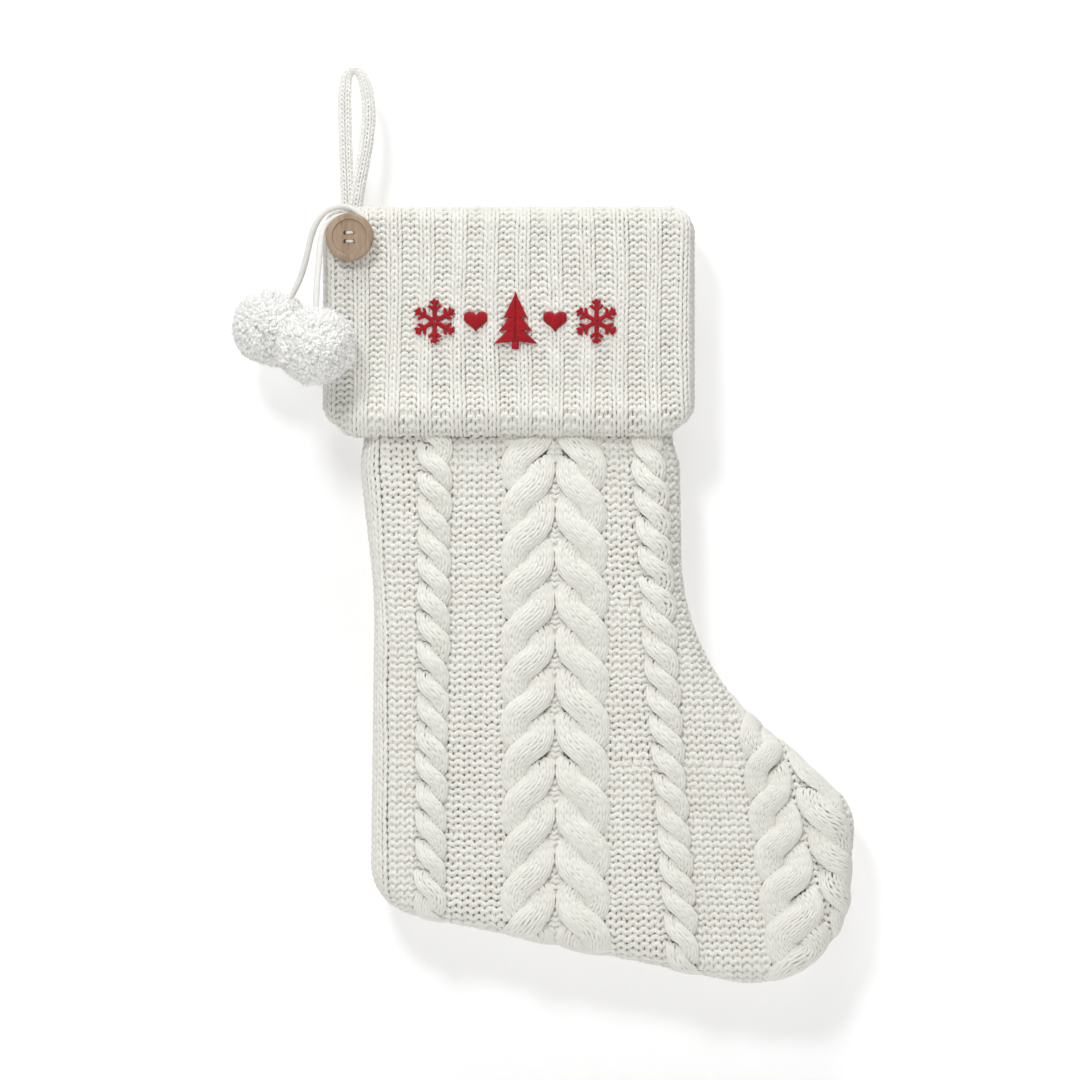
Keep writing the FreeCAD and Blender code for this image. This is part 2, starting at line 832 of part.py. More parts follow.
def heart(side, sign):
    """A small heart of satin stitch, its two lobes cut square."""
    middle = f"dims.motif_middle {sign} dims.heart_spread"
    wide, drop, rise = cells("heart_half_width", "heart_drop", "heart_rise")
    offsets = [
        ("0.0", f"-{drop}"),
        (wide, "0.0"),
        (wide, f"{rise} / 2"),
        (f"{wide} / 2", rise),
        ("0.0", f"{rise} / 2"),
        (f"-{wide} / 2", rise),
        (f"-{wide}", f"{rise} / 2"),
        (f"-{wide}", "0.0"),
    ]
    motif(f"embroidery_{side}_heart", around(middle, offsets))


def tree():
    """A fir tree of satin stitch: three tiers over a short trunk."""
    rise, trunk = cells("tree_rise", "trunk_half_width")
    right = [
        (trunk, f"-{rise}"),
        (trunk, "dims.tree_low_level"),
        cells("tree_low_width", "tree_low_level"),
        cells("tree_mid_notch", "tree_mid_level"),
        cells("tree_mid_width", "tree_mid_level"),
        cells("tree_high_notch", "tree_high_level"),
        cells("tree_high_width", "tree_high_level"),
    ]
    left = [(f"-{x}", z) for x, z in reversed(right)]
    motif("embroidery_tree", around("dims.motif_middle", [*right, ("0.0", rise), *left]))


def embroidery():
    """The five motifs on the cuff's face and the backing cloth behind them."""
    for side, sign in (("left", "-"), ("right", "+")):
        snowflake(side, sign)
        heart(side, sign)
    tree()
    block("embroidery_backing", cells("backing_left", "backing_front", "backing_base"),
          ("dims.backing_right", "dims.backing_front + dims.backing_thick", "dims.backing_top"))


# --- the whole stocking -----------------------------------------------------------------


def build_stocking():
    """Makes every sub-part."""
    leg = ("dims.leg_half_depth", "dims.leg_rim_round", "dims.leg_wall", "dims.leg_top")
    bag = ("dims.lining_half_depth", "dims.lining_rim_round", "dims.lining_wall", "dims.lining_top")
    for side, back in (("front", False), ("back", True)):
        stocking_half(f"leg_{side}_panel", LEG_CORNERS, *leg, back)
        stocking_half(f"lining_{side}_panel", lining_corners(), *bag, back)
        cuff_half(f"cuff_{side}_panel", back)
    thick, gap = dim("seam_thick"), dim("seam_gap")
    seam_strip("leg_side_seam", LEG_CORNERS, dim("leg_wall") + gap + thick / 2, thick,
               dim("seam_width"), dim("leg_seam_left_gap"), dim("leg_seam_right_gap"))
    thick = dim("lining_seam_thick")
    seam_strip("lining_side_seam", lining_corners(), -gap - thick / 2, thick,
               dim("lining_seam_width"), dim("lining_seam_gap"), dim("lining_seam_gap"))
    cuff_seams()
    cuff_hem()
    mouth_stitches()
    hanging_loop()
    loop_ends()
    button()
    button_thread()
    cord("left_pompom_cord", LEFT_CORD_ROUTE)
    cord("right_pompom_cord", RIGHT_CORD_ROUTE)
    pompom("left", LEFT_POMPOM_CENTRE, dim("pompom_left_radius"), LEFT_CORD_ROUTE)
    pompom("right", RIGHT_POMPOM_CENTRE, dim("pompom_right_radius"), RIGHT_CORD_ROUTE)
    embroidery()


def check_and_write():
    """Writes one STEP file for each sub-part, once every object is sound."""
    doc.recompute()
    for item in doc.Objects:
        if {"Invalid", "Error"} & set(item.State):
            raise RuntimeError(f"{item.Label} is {item.State}")
    for item in sub_parts:
        if item.Shape.isNull() or not item.Shape.isValid():
            raise RuntimeError(f"{item.Label} has no sound shape")
    os.makedirs("parts", exist_ok=True)
    for item in sub_parts:
        item.Shape.exportStep(f"parts/{item.Label}.step")
        print(item.Label, len(item.Shape.Solids), "solids", round(item.Shape.Volume), "mm3")


build_stocking()
check_and_write()
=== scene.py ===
import functools
import math

import bpy
import numpy as np
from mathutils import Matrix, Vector


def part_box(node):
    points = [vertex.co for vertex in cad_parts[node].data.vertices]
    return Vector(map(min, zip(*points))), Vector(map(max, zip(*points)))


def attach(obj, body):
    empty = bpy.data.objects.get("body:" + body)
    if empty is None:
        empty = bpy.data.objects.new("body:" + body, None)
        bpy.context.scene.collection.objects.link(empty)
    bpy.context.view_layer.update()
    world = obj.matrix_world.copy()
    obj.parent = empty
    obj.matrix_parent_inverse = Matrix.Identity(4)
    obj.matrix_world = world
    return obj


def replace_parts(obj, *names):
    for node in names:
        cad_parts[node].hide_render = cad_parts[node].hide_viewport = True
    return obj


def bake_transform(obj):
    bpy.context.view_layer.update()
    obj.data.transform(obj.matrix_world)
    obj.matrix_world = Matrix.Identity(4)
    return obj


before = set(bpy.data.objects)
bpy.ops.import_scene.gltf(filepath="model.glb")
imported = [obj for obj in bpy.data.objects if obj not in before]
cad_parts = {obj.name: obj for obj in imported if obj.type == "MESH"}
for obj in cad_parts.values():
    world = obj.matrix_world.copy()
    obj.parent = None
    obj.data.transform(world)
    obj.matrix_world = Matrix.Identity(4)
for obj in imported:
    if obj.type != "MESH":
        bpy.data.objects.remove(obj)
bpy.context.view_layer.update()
rng = np.random.default_rng(2026)
DMM = 0.0001
TAU = 2 * math.pi
QUARTER = math.pi / 2

# The leg's outline in the X-Z plane, in metres: each corner and its radius.
LEG_CORNERS = [
    ((-0.0094, -0.0925), 0),
    ((0.0163, -0.3250), 0.300),
    ((0.0138, -0.5170), 0.032),
    ((0.3030, -0.5770), 0.060),
    ((0.3110, -0.4575), 0.028),
    ((0.2035, -0.3630), 0.140),
    ((0.1992, -0.0925), 0),
]
LEG_HALF_DEPTH, LEG_RIM = 0.0183, 0.0130
LINING_HALF_DEPTH, LINING_RIM = 0.0130, 0.0080
LINING_INSET, LINING_TOP = 0.0105, -0.0905
CUFF_LEFT, CUFF_RIGHT = -0.0161, 0.2102
CUFF_TOP, CUFF_BOTTOM = -0.0846, -0.2189
CUFF_HALF_DEPTH, CUFF_RIM, CUFF_CORNER = 0.0252, 0.0110, 0.013
MOUTH_LEFT, MOUTH_RIGHT = -0.0090, 0.1900
MOUTH_FLAT, MOUTH_TURN = 0.0008, 0.0018


# --- Geometry helpers


def unit(v):
    return v / np.maximum(np.linalg.norm(v, axis=-1, keepdims=True), 1e-12)


def smooth(t):
    t = np.clip(t, 0, 1)
    return t * t * (3 - 2 * t)


def flat(x, z):
    return np.stack(np.broadcast_arrays(x, z), -1).astype(float)


def wander(points, scale, seed):
    """A smooth wandering value in -1..1 over points of any dimension."""
    r = np.random.default_rng(seed)
    total = 0
    for k in range(6):
        direction = r.normal(size=points.shape[-1])
        direction *= r.uniform(0.5, 1.6) / scale / np.linalg.norm(direction)
        total = total + np.sin(TAU * (points @ direction) + r.uniform(0, TAU))
    return total / 3.2


def rounded_path(corners, closed, arc_step=0.002, line_step=0.006):
    """Points along straight lines through the corners, with each corner turned on its radius."""
    pts = [np.array(corner, float) for corner, _ in corners]
    path = []
    for k, (_, radius) in enumerate(corners):
        p = pts[k]
        if radius == 0:
            path.append([p])
            continue
        a, b = unit(pts[k - 1] - p), unit(pts[(k + 1) % len(pts)] - p)
        half = 0.5 * math.acos(float(np.clip(a @ b, -1, 1)))
        reach = radius / math.tan(half)
        centre = p + unit(a + b) * (radius / math.sin(half))
        start, end = p + a * reach - centre, p + b * reach - centre
        turn = math.pi - 2 * half
        w = np.linspace(0, 1, max(6, int(radius * turn / arc_step)))[:, None]
        arc = (np.sin((1 - w) * turn) * start + np.sin(w * turn) * end) / math.sin(turn)
        path.append(centre + arc)
    if closed:
        path.append(path[0][:1])
    joined = np.vstack(path)
    dense = []
    for a, b in zip(joined[:-1], joined[1:]):
        count = max(1, int(np.linalg.norm(b - a) / line_step))
        dense.append(a + (b - a) * np.linspace(0, 1, count, endpoint=False)[:, None])
    return np.vstack([*dense, joined[-1:]])


class Pillow:
    """A flat pillow between two outlines: its face rolls over a rim to the side wall at y = 0.
    Flat coordinates keep the cloth's own length over the rim. Between mouth's two values of X the
    upper edge turns in and down, and foot limits how far the cloth reaches over the lower edge."""

    def __init__(self, path, closed, half_depth, rim, mouth=(1.0, 0.0), foot=1.0):
        self.path, self.half, self.rim, self.mouth = path, half_depth, rim, mouth
        self.seg = seg = path[1:] - path[:-1]
        self.len2 = np.maximum((seg**2).sum(1), 1e-18)
        after = np.roll(path, -1, axis=0)
        side = np.sign(np.sum(path[:, 0] * after[:, 1] - after[:, 0] * path[:, 1]))
        normal = unit(np.stack([seg[:, 1], -seg[:, 0]], 1)) * side
        self.normals = np.vstack([normal[:1], unit(normal[1:] + normal[:-1]), normal[-1:]])
        if closed:
            self.normals[0] = self.normals[-1] = unit(normal[0] + normal[-1])
        self.reach = rim * QUARTER + (half_depth - rim)
        self.foot = min(self.reach, foot)

    def nearest(self, p):
        """Signed distance to the outline, negative inside, and the outward normal there."""
        points = p.reshape(-1, 2)
        far = np.empty(len(points))
        nor = np.empty((len(points), 2))
        batch = 20000
        for s in range(0, len(points), batch):
            q = points[s : s + batch]
            rel = q[:, None, :] - self.path[None, :-1, :]
            t = np.clip((rel * self.seg).sum(2) / self.len2, 0, 1)
            gap = rel - t[..., None] * self.seg
            k = (gap**2).sum(2).argmin(1)
            rows = np.arange(len(q))
            tk = t[rows, k][:, None]
            n = unit(self.normals[k] * (1 - tk) + self.normals[k + 1] * tk)
            far[s : s + batch] = (gap[rows, k] * n).sum(1)
            nor[s : s + batch] = n
        return far.reshape(p.shape[:-1]), nor.reshape(p.shape)

    def edge(self, p):
        """Signed distance to the outline, the outward normal, and the cloth's reach past the rim's start."""
        far, n = self.nearest(p)
        return far, n, np.where(n[..., 1] < -0.8, self.foot, self.reach)

    def place(self, x, z, height):
        """The 3-D place of the flat point (x, z) at that height off the cloth, and the cloth's normal."""
        p = flat(x, z)
        height = np.broadcast_to(height, p.shape[:-1])
        far, n, reach = self.edge(p)
        x0, x1 = self.mouth
        ease = 0.004
        top = smooth((n[..., 1] - 0.90) / 0.08)
        top = top * smooth((p[..., 0] - x0 + ease) / ease) * smooth((x1 + ease - p[..., 0]) / ease)
        over = np.minimum(np.clip(far + self.rim, 0, None), reach + top * 0.008)
        angle = np.minimum(over / self.rim, QUARTER)
        wall = np.clip(over - self.rim * QUARTER, 0, None)
        sin, cos = np.sin(angle), np.cos(angle)
        face = self.half - self.rim
        # Out from the rim's start, depth, and the normal's two parts: elsewhere, and at the mouth.
        side = np.stack([self.rim * sin, face + self.rim * cos - np.minimum(wall, face), sin, cos])
        past = wall - MOUTH_FLAT
        bend = np.clip(past / MOUTH_TURN, 0, QUARTER)
        down = np.clip(past - MOUTH_TURN * QUARTER, 0, None)
        into = face + self.rim * cos - np.minimum(wall, MOUTH_FLAT) - MOUTH_TURN * np.sin(bend)
        mouth = np.stack([
            self.rim * sin - MOUTH_TURN * (1 - np.cos(bend)) - down,
            into,
            np.where(wall > 0, np.cos(bend), sin),
            np.where(wall > 0, -np.sin(bend), cos),
        ])
        out, depth, n_out, n_front = side * (1 - top) + mouth * top
        inside = far + self.rim <= 0
        rolled = p - n * far[..., None] - n * self.rim + n * out[..., None]
        xz = np.where(inside[..., None], p, rolled)
        n_out, n_front = np.where(inside, 0, n_out), np.where(inside, 1, n_front)
        depth = np.where(inside, self.half, depth)
        normal = np.stack([n[..., 0] * n_out, -n_front, n[..., 1] * n_out], -1)
        return np.stack([xz[..., 0], -depth, xz[..., 1]], -1) + normal * height[..., None], normal

    def covers(self, x, z, spare=0.0):
        """True where the flat point lies on the cloth, spare inside its edge."""
        p = flat(x, z)
        far, n, reach = self.edge(p)
        slot = (n[..., 1] > 0.97) & (p[..., 0] > self.mouth[0]) & (p[..., 0] < self.mouth[1])
        turned_in = (self.rim + MOUTH_TURN) * QUARTER + MOUTH_FLAT + 0.004
        return far + self.rim < np.where(slot, turned_in, reach) - spare


def new_mesh(name, verts, faces, material, body="root", attributes=(), mirror=False, shade=True):
    """A mesh object from arrays of points and four-cornered faces."""
    if mirror:
        verts = verts * np.array([1, -1, 1])
        faces = faces[:, ::-1]
    me = bpy.data.meshes.new(name)
    me.vertices.add(len(verts))
    me.vertices.foreach_set("co", np.ascontiguousarray(verts, np.float32).ravel())
    m, k = faces.shape
    me.loops.add(m * k)
    me.loops.foreach_set("vertex_index", np.ascontiguousarray(faces, np.int32).ravel())
    me.polygons.add(m)
    me.polygons.foreach_set("loop_start", np.arange(0, m * k, k, dtype=np.int32))
    me.update(calc_edges=True)
    if shade:
        me.shade_smooth()
    for key, values in attributes:
        kind, field = ("FLOAT_VECTOR", "vector") if values.ndim == 2 else ("FLOAT", "value")
        made = me.attributes.new(key, kind, "POINT")
        made.data.foreach_set(field, np.ascontiguousarray(values, np.float32).ravel())
    me.materials.append(material)
    return place_object(name, me, body)


def place_object(name, data, body=None):
    """An object in the scene, riding on a body of the frame where one is given."""
    ob = bpy.data.objects.new(name, data)
    bpy.context.scene.collection.objects.link(ob)
    if body is not None:
        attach(ob, body)
    return ob


def ring_faces(rings, sides):
    """Faces between rings of points."""
    i = np.arange(rings - 1)[:, None] * sides
    j = np.arange(sides)[None]
    after = (j + 1) % sides
    return np.stack([i + j, i + sides + j, i + sides + after, i + after], -1).reshape(-1, 4)


def grid_faces(i, j, columns):
    """Faces of the cells (i, j) in a grid of points."""
    a = (i * columns + j).ravel()
    return np.stack([a, a + columns, a + columns + 1, a + 1], -1)


def tubes(points, upward, radius, tint, sides=6, caps=False):
    """Round yarns along many lines at once. The first and last points only give each line's direction.
    Returns points, faces, the yarn attribute (twist round the yarn, length along it) and the tint."""
    tangent = unit(points[:, 2:] - points[:, :-2])
    centre = points[:, 1:-1]
    side = unit(np.cross(tangent, np.broadcast_to(upward, points.shape)[:, 1:-1]))
    top = np.cross(side, tangent)
    s, k = centre.shape[:2]
    a = np.arange(sides) * TAU / sides
    ring = side[:, :, None] * np.cos(a)[:, None] + top[:, :, None] * np.sin(a)[:, None]
    verts = centre[:, :, None] + np.broadcast_to(radius, (s, k))[..., None, None] * ring
    first = np.arange(s)[:, None, None] * (k * sides)
    faces = (first + ring_faces(k, sides)).reshape(-1, 4)
    if caps:
        lid = np.array([[0, 1, 2, 3], [0, 3, 4, 5]])
        lids = np.vstack([lid, (k - 1) * sides + lid[:, ::-1]])
        faces = np.vstack([faces, (first + lids).reshape(-1, 4)])
    run = np.zeros((s, k))
    run[:, 1:] = np.cumsum(np.linalg.norm(centre[:, 1:] - centre[:, :-1], axis=2), 1)
    twist = np.empty((s, k, sides, 3), np.float32)
    twist[..., 0] = np.cos(2 * a)
    twist[..., 1] = np.sin(2 * a)
    twist[..., 2] = (run * 1000)[:, :, None]
    tint = np.repeat(np.broadcast_to(tint, s), k * sides)
    return verts.reshape(-1, 3), faces, twist.reshape(-1, 3), tint


def plain_rings(points, tint, flip=False):
    """A solid middle under yarns, from rings of points, with no twist of its own."""
    faces = ring_faces(*points.shape[:2])
    verts = points.reshape(-1, 3)
    return verts, faces[:, ::-1] if flip else faces, np.zeros_like(verts), np.full(len(verts), tint)


def coil(middle, along, aside, upward, start, end, turns, per_turn, radius, tint, reach=0.0026):
    """Yarn wound round an axis, from start to end along it."""
    a = np.linspace(0, TAU * turns, turns * per_turn)[:, None]
    line = middle + along * np.linspace(start, end, len(a))[:, None]
    line = line + reach * (np.cos(a) * aside + np.sin(a) * upward)
    return tubes(line[None], along, radius, tint)


def yarn_piece(name, parts, material, body="root", mirror=False):
    """One object from several (points, faces, twist, tint) groups."""
    verts, faces, twist, tint = zip(*parts)
    base = np.cumsum([0] + [len(v) for v in verts])
    faces = np.vstack([f + b for f, b in zip(faces, base)])
    attributes = [("yarn", np.vstack(twist)), ("tint", np.concatenate(tint))]
    return new_mesh(name, np.vstack(verts), faces, material, body, attributes, mirror)


def configure(thing, **values):
    for key, value in values.items():
        setattr(thing, key, value)


def thicken(ob, thickness, offset):
    configure(ob.modifiers.new("thick", "SOLIDIFY"), thickness=thickness, offset=offset)


# --- Materials


class Nodes:
    """A material's node tree with short ways to add nodes and links."""

    def __init__(self, name):
        self.mat = bpy.data.materials.new(name)
        self.mat.use_nodes = True
        self.tree = self.mat.node_tree
        self.tree.nodes.clear()
        self.out = self.add("ShaderNodeOutputMaterial")
        self.shader = self.add("ShaderNodeBsdfPrincipled")
        self.put(self.out.inputs["Surface"], self.shader.outputs["BSDF"])

    def put(self, socket, value):
        """Gives an input its value: another node's output, or a constant."""
        if isinstance(value, bpy.types.NodeSocket):
            self.tree.links.new(value, socket)
        else:
            socket.default_value = value

    def add(self, kind, **values):
        """A node with its properties and inputs set. An input's name has _ for each space."""
        node = self.tree.nodes.new(kind)
        for key, value in values.items():
            if hasattr(node, key):
                setattr(node, key, value)
            else:
                self.put(node.inputs[key.replace("_", " ")], value)
        return node

    def field(self, name, output="Fac"):
        return self.add("ShaderNodeAttribute", attribute_name=name).outputs[output]

    def place(self):
        return self.add("ShaderNodeTexCoord").outputs["Object"]

    def split(self, vector):
        return self.add("ShaderNodeSeparateXYZ", Vector=vector).outputs

    def math(self, operation, a, b=0.0):
        node = self.add("ShaderNodeMath", operation=operation)
        for socket, value in zip(node.inputs, (a, b)):
            self.put(socket, value)
        return node.outputs[0]

    def total(self, *terms):
        """The sum of values, each times its weight."""
        parts = [v if weight == 1 else self.math("MULTIPLY", v, weight) for v, weight in terms]
        return functools.reduce(lambda a, b: self.math("ADD", a, b), parts)

    def lattice(self, x_rate, z_rate):
        """Waves across X times waves up Z, in radians for each metre."""
        place = self.split(self.place())
        across, upward = (
            self.math("SINE", self.math("MULTIPLY", place[axis], rate))
            for axis, rate in (("X", x_rate), ("Z", z_rate))
        )
        return self.math("MULTIPLY", across, upward)

    def noise(self, scale, detail=3.0, vector=None, roughness=0.5, distortion=0.0):
        return self.add(
            "ShaderNodeTexNoise", Scale=scale, Detail=detail, Roughness=roughness, Distortion=distortion,
            Vector=vector or self.place(),
        ).outputs["Fac"]

    def ramp(self, value, *stops):
        node = self.add("ShaderNodeValToRGB", Fac=value)
        band = node.color_ramp
        while len(band.elements) < len(stops):
            band.elements.new(0.5)
        for element, (at, colour) in zip(band.elements, stops):
            element.position = at
            element.color = (*colour, 1)
        return node.outputs["Color"]

    def scale(self, low, high, value):
        return self.add("ShaderNodeMapRange", To_Min=low, To_Max=high, Value=value).outputs["Result"]

    def bump(self, height, strength, distance):
        node = self.add("ShaderNodeBump", Strength=strength, Distance=distance, Height=height)
        self.put(self.shader.inputs["Normal"], node.outputs["Normal"])

    def finish(self, colour, roughness, sheen=0.1, sheen_roughness=0.5, specular=0.2, coat=0.0):
        names = "Base Color,Roughness,Sheen Weight,Sheen Roughness,Specular IOR Level,Coat Weight".split(",")
        for name, value in zip(names, (colour, roughness, sheen, sheen_roughness, specular, coat)):
            self.put(self.shader.inputs[name], value)
        return self.mat


def yarn_material(name, dark, light, turns=1.7, depth=0.00016, sheen=0.25, fuzz=900.0):
    """Plied yarn: two plies wound round each other, with painted shade in the grooves between them, fine
    fibres, and a tone for each stitch.
    """
    m = Nodes(name)
    yarn = m.split(m.field("yarn", "Vector"))
    along = m.math("MULTIPLY", yarn["Z"], turns)
    ply = m.total((yarn["X"], m.math("COSINE", along)), (yarn["Y"], m.math("SINE", along)))
    fibre = m.noise(fuzz, 4.0, roughness=0.65)
    mottled = m.noise(45.0, 2.0)
    # The ply term darkens the colour in the grooves between the plies: painted shade, beside the bump.
    tone = m.total((m.field("tint"), 0.30), (mottled, 0.45), (fibre, 0.25), (ply, 0.07))
    m.bump(m.total((ply, 0.5), (fibre, 0.7)), 0.55, depth)
    return m.finish(m.ramp(tone, (0.2, dark), (0.75, light)), m.scale(0.78, 0.96, fibre), sheen, 0.55)


def woven_material(name, dark, light, rate=4500.0):
    """Plain-woven cotton: crossing threads, with slubs and soft mottling."""
    m = Nodes(name)
    weave = m.lattice(rate, rate)
    slub = m.noise(160.0, 3.0)
    m.bump(m.total((weave, 1), (slub, 1)), 0.4, 0.00012)
    tone = m.total((weave, 0.12), (slub, 1))
    return m.finish(m.ramp(tone, (0.25, dark), (0.8, light)), m.scale(0.8, 0.95, slub))


def cord_material():
    """A fine tubular knit cord: tiny stitches in a lattice that barely shows."""
    m = Nodes("pompom_cord_knit")
    lattice = m.lattice(5600.0, 5200.0)
    fibre = m.noise(1800.0, 4.0, roughness=0.6)
    mottled = m.noise(120.0, 2.0)
    tone = m.total((mottled, 0.6), (fibre, 0.4), (lattice, 0.05))
    m.bump(m.total((lattice, 0.6), (fibre, 1)), 0.45, 0.00012)
    colour = m.ramp(tone, (0.25, (0.80, 0.795, 0.76)), (0.75, (0.92, 0.915, 0.885)))
    return m.finish(colour, m.scale(0.75, 0.95, fibre), 0.25)


def wood_material():
    """Pale beech or birch turned into a button: long grain lines, pores, a satin finish."""
    m = Nodes("button_wood")
    along_grain = m.add(
        "ShaderNodeMapping", Vector=m.place(), Rotation=(0, math.radians(62), 0), Scale=(1.0, 1.0, 0.09)
    ).outputs[0]
    grain = m.noise(900.0, 5.0, along_grain, 0.62, 0.6)
    broad = m.noise(170.0, 3.0, along_grain, 0.5, 0.4)
    colour = m.ramp(
        m.total((grain, 0.55), (broad, 0.45)),
        (0.30, (0.205, 0.130, 0.080)), (0.47, (0.375, 0.265, 0.182)), (0.66, (0.490, 0.370, 0.270)),
    )
    m.bump(grain, 0.35, 0.0002)
    return m.finish(colour, m.scale(0.42, 0.62, grain), sheen=0.0, specular=0.35, coat=0.08)


KNIT = yarn_material("knit_ivory", (0.845, 0.833, 0.775), (0.925, 0.918, 0.875))
CUFF_KNIT = yarn_material("cuff_knit_ivory", (0.835, 0.823, 0.765), (0.915, 0.908, 0.865))
LOOP_KNIT = yarn_material("loop_knit_ivory", (0.87, 0.862, 0.82), (0.955, 0.95, 0.925))
POMPOM = yarn_material("pompom_yarn", (0.96, 0.958, 0.944), (0.988, 0.987, 0.978), 2.4, 0.00006, 0.5, 1600.0)
KNOT = yarn_material("pompom_cord", (0.80, 0.80, 0.77), (0.92, 0.92, 0.89), 2.2, 0.0001, 0.2, 1500.0)
THREAD = yarn_material("sewing_thread", (0.78, 0.77, 0.72), (0.93, 0.925, 0.90), 5.0, 0.00006, 0.1, 2500.0)
RED = yarn_material("embroidery_red", (0.33, 0.006, 0.012), (0.52, 0.014, 0.024), 4.0, 0.00008, 0.1, 2200.0)
COTTON = woven_material("lining_cotton", (0.74, 0.72, 0.66), (0.88, 0.87, 0.83))
# The ground sheet under the stitches closes the cloth. Its darker, warmer colour is painted shade for the
# gaps between stitches.
GAP_SHADE_GROUND = woven_material("knit_gap_shade_ground", (0.84, 0.79, 0.69), (0.91, 0.87, 0.79), 2100.0)
WOOD = wood_material()
CORD_MATERIAL = cord_material()


# --- Knitting: every stitch is its own loop of yarn

STEPS = 12
COURSE = 0.00455
CUFF_COURSE = 0.00405
HEM_COURSE = 0.0036
REACH = 0.86
# The loop's own curve from foot to foot, with one more sample beyond each end.
STITCH = np.arange(-1, STEPS + 2) * TAU / STEPS
# How each kind of stitch is drawn: yarn radius, lift, bulge sideways, reach along the column.
EDGE_STYLE = (0.00128, 0.00105, 0.18, 0.90)
PURL_STYLE = (0.00172, 0.00085, 0.11, 0.69)
CUFF_KNIT_STYLE = (0.00118, 0.00085, 0.19, 0.88)
CUFF_PURL_STYLE = (0.00150, 0.00085, 0.12, 0.69)


def varied(radius, count, spread):
    """A yarn radius that changes a little from line to line."""
    return radius * (1 + spread * rng.normal(size=(count, 1)).clip(-2, 2))


def stitch_lines(stitches, course, lift, bulge=0.20, reach=REACH):
    """Flat coordinates and height of stitches, given as rows of left, right, z, and the face: 1 for knit
    and -1 for purl in the middle, at the left and at the right."""
    left, right, z, knit, knit_left, knit_right = stitches[..., None]
    t = STITCH
    width = right - left
    x = left + width * t / TAU + bulge * width * np.sin(2 * t)
    zz = z - reach * np.reshape(course, (-1, 1)) * np.cos(t)
    near_left, near_right = 1 - smooth(t), smooth(t - TAU + 1)
    face = knit * (1 - near_left - near_right) + knit_left * near_left + knit_right * near_right
    return x, zz, -face * lift * np.cos(2 * t)


def knit_on(pillow, stitches, course, style, rise, warp):
    """Stitches laid on a pillow, as tubes. rise gives how proud the cloth stands at a flat x and z."""
    radius, *shape = style
    x, z, height = stitch_lines(stitches, course, *shape)
    dx, dz = warp(x, z)
    x, z = x + dx, z + dz
    place, normal = pillow.place(x, z, height + rise(x, z))
    n = len(place)
    return tubes(place, normal, varied(radius, n, 0.07), rng.uniform(0, 1, n))


def knit_groups(pillow, stitches, course, rise, warp, kinds):
    """Stitches laid on a pillow by kind, each a name, a mask and a style."""
    course = np.broadcast_to(course, stitches.shape[1])
    return {
        name: [knit_on(pillow, stitches[:, mask], course[mask], style, rise, warp)]
        for name, mask, style in kinds
    }


def on_cloth(pillow, stitches, spare):
    """The stitches whose middle lies on the pillow's cloth."""
    return stitches[:, pillow.covers((stitches[0] + stitches[1]) / 2, stitches[2], spare)]


# Guide lines of the leg's columns: X in metres at each of four heights.
HEIGHTS = np.array([-0.2189, -0.3584, -0.4514, -0.5506])
GUIDES = {
    "edge": (0.0161, 0.0223, 0.0223, 0.0223),
    "rope1_left": (0.0409, 0.0403, 0.0394, 0.0384),
    "rope1_right": (0.0626, 0.0608, 0.0592, 0.0577),
    "cable_left": (0.0918, 0.0918, 0.0918, 0.0918),
    "cable_mid": (0.1259, 0.1259, 0.1259, 0.1259),
    "cable_right": (0.1575, 0.1600, 0.1606, 0.1606),
    "rope2_left": (0.1724, 0.1804, 0.1879, 0.1953),
    "rope2_right": (0.1922, 0.2021, 0.2083, 0.2158),
    "toe_left": (0.2180, 0.2337, 0.2440, 0.2561),
    "toe_mid": (0.2400, 0.2561, 0.2759, 0.3026),
    "toe_right": (0.2650, 0.2858, 0.3057, 0.3323),
}
# Purl ground from left to right: a guide and the way past it, twice, and the columns in each part
# of the leg between INCREASES.
SECTIONS = [
    ("edge", 0.0004, "rope1_left", 0.0040, (4, 4, 4)),
    ("rope1_right", -0.0036, "cable_left", 0.0045, (6, 6, 6)),
    ("cable_mid", -0.0048, "cable_mid", 0.0048, (2, 2, 2)),
    ("cable_right", -0.0045, "rope2_left", 0.0040, (4, 5, 6)),
    ("rope2_right", -0.0036, "toe_left", 0.0045, (6, 7, 8)),
    ("toe_left", 0.0045, "toe_right", 0.0000, (9, 9, 9)),
]
INCREASES = np.array([-0.330, -0.430])
# Each cable: its two guides, the way it turns, its pitch, the columns of each strand, its phase.
CABLES = {
    "left_rope": ("rope1_left", "rope1_right", 1, 0.01755, 3, 0.3),
    "centre_cable_left": ("cable_left", "cable_mid", -1, 0.02666, 5, 0.9),
    "centre_cable_right": ("cable_mid", "cable_right", 1, 0.02666, 5, 0.9),
    "right_rope": ("rope2_left", "rope2_right", 1, 0.01755, 3, 1.4),
    "toe_cable_left": ("toe_left", "toe_mid", -1, 0.0255, 7, 2.2),
    "toe_cable_right": ("toe_mid", "toe_right", 1, 0.0255, 5, 0.6),
}
LEG_YARN_TOP, LEG_YARN_BOTTOM = -0.2010, -0.5860
LEG_ROWS = int((LEG_YARN_TOP - LEG_YARN_BOTTOM) / COURSE)
HEEL_TOP, FOOT_TOP = -0.484, -0.400

leg_path = rounded_path(LEG_CORNERS, False)
leg = Pillow(leg_path, False, LEG_HALF_DEPTH, LEG_RIM)


def guide(name, z):
    return np.interp(-np.asarray(z, float), -HEIGHTS, GUIDES[name])


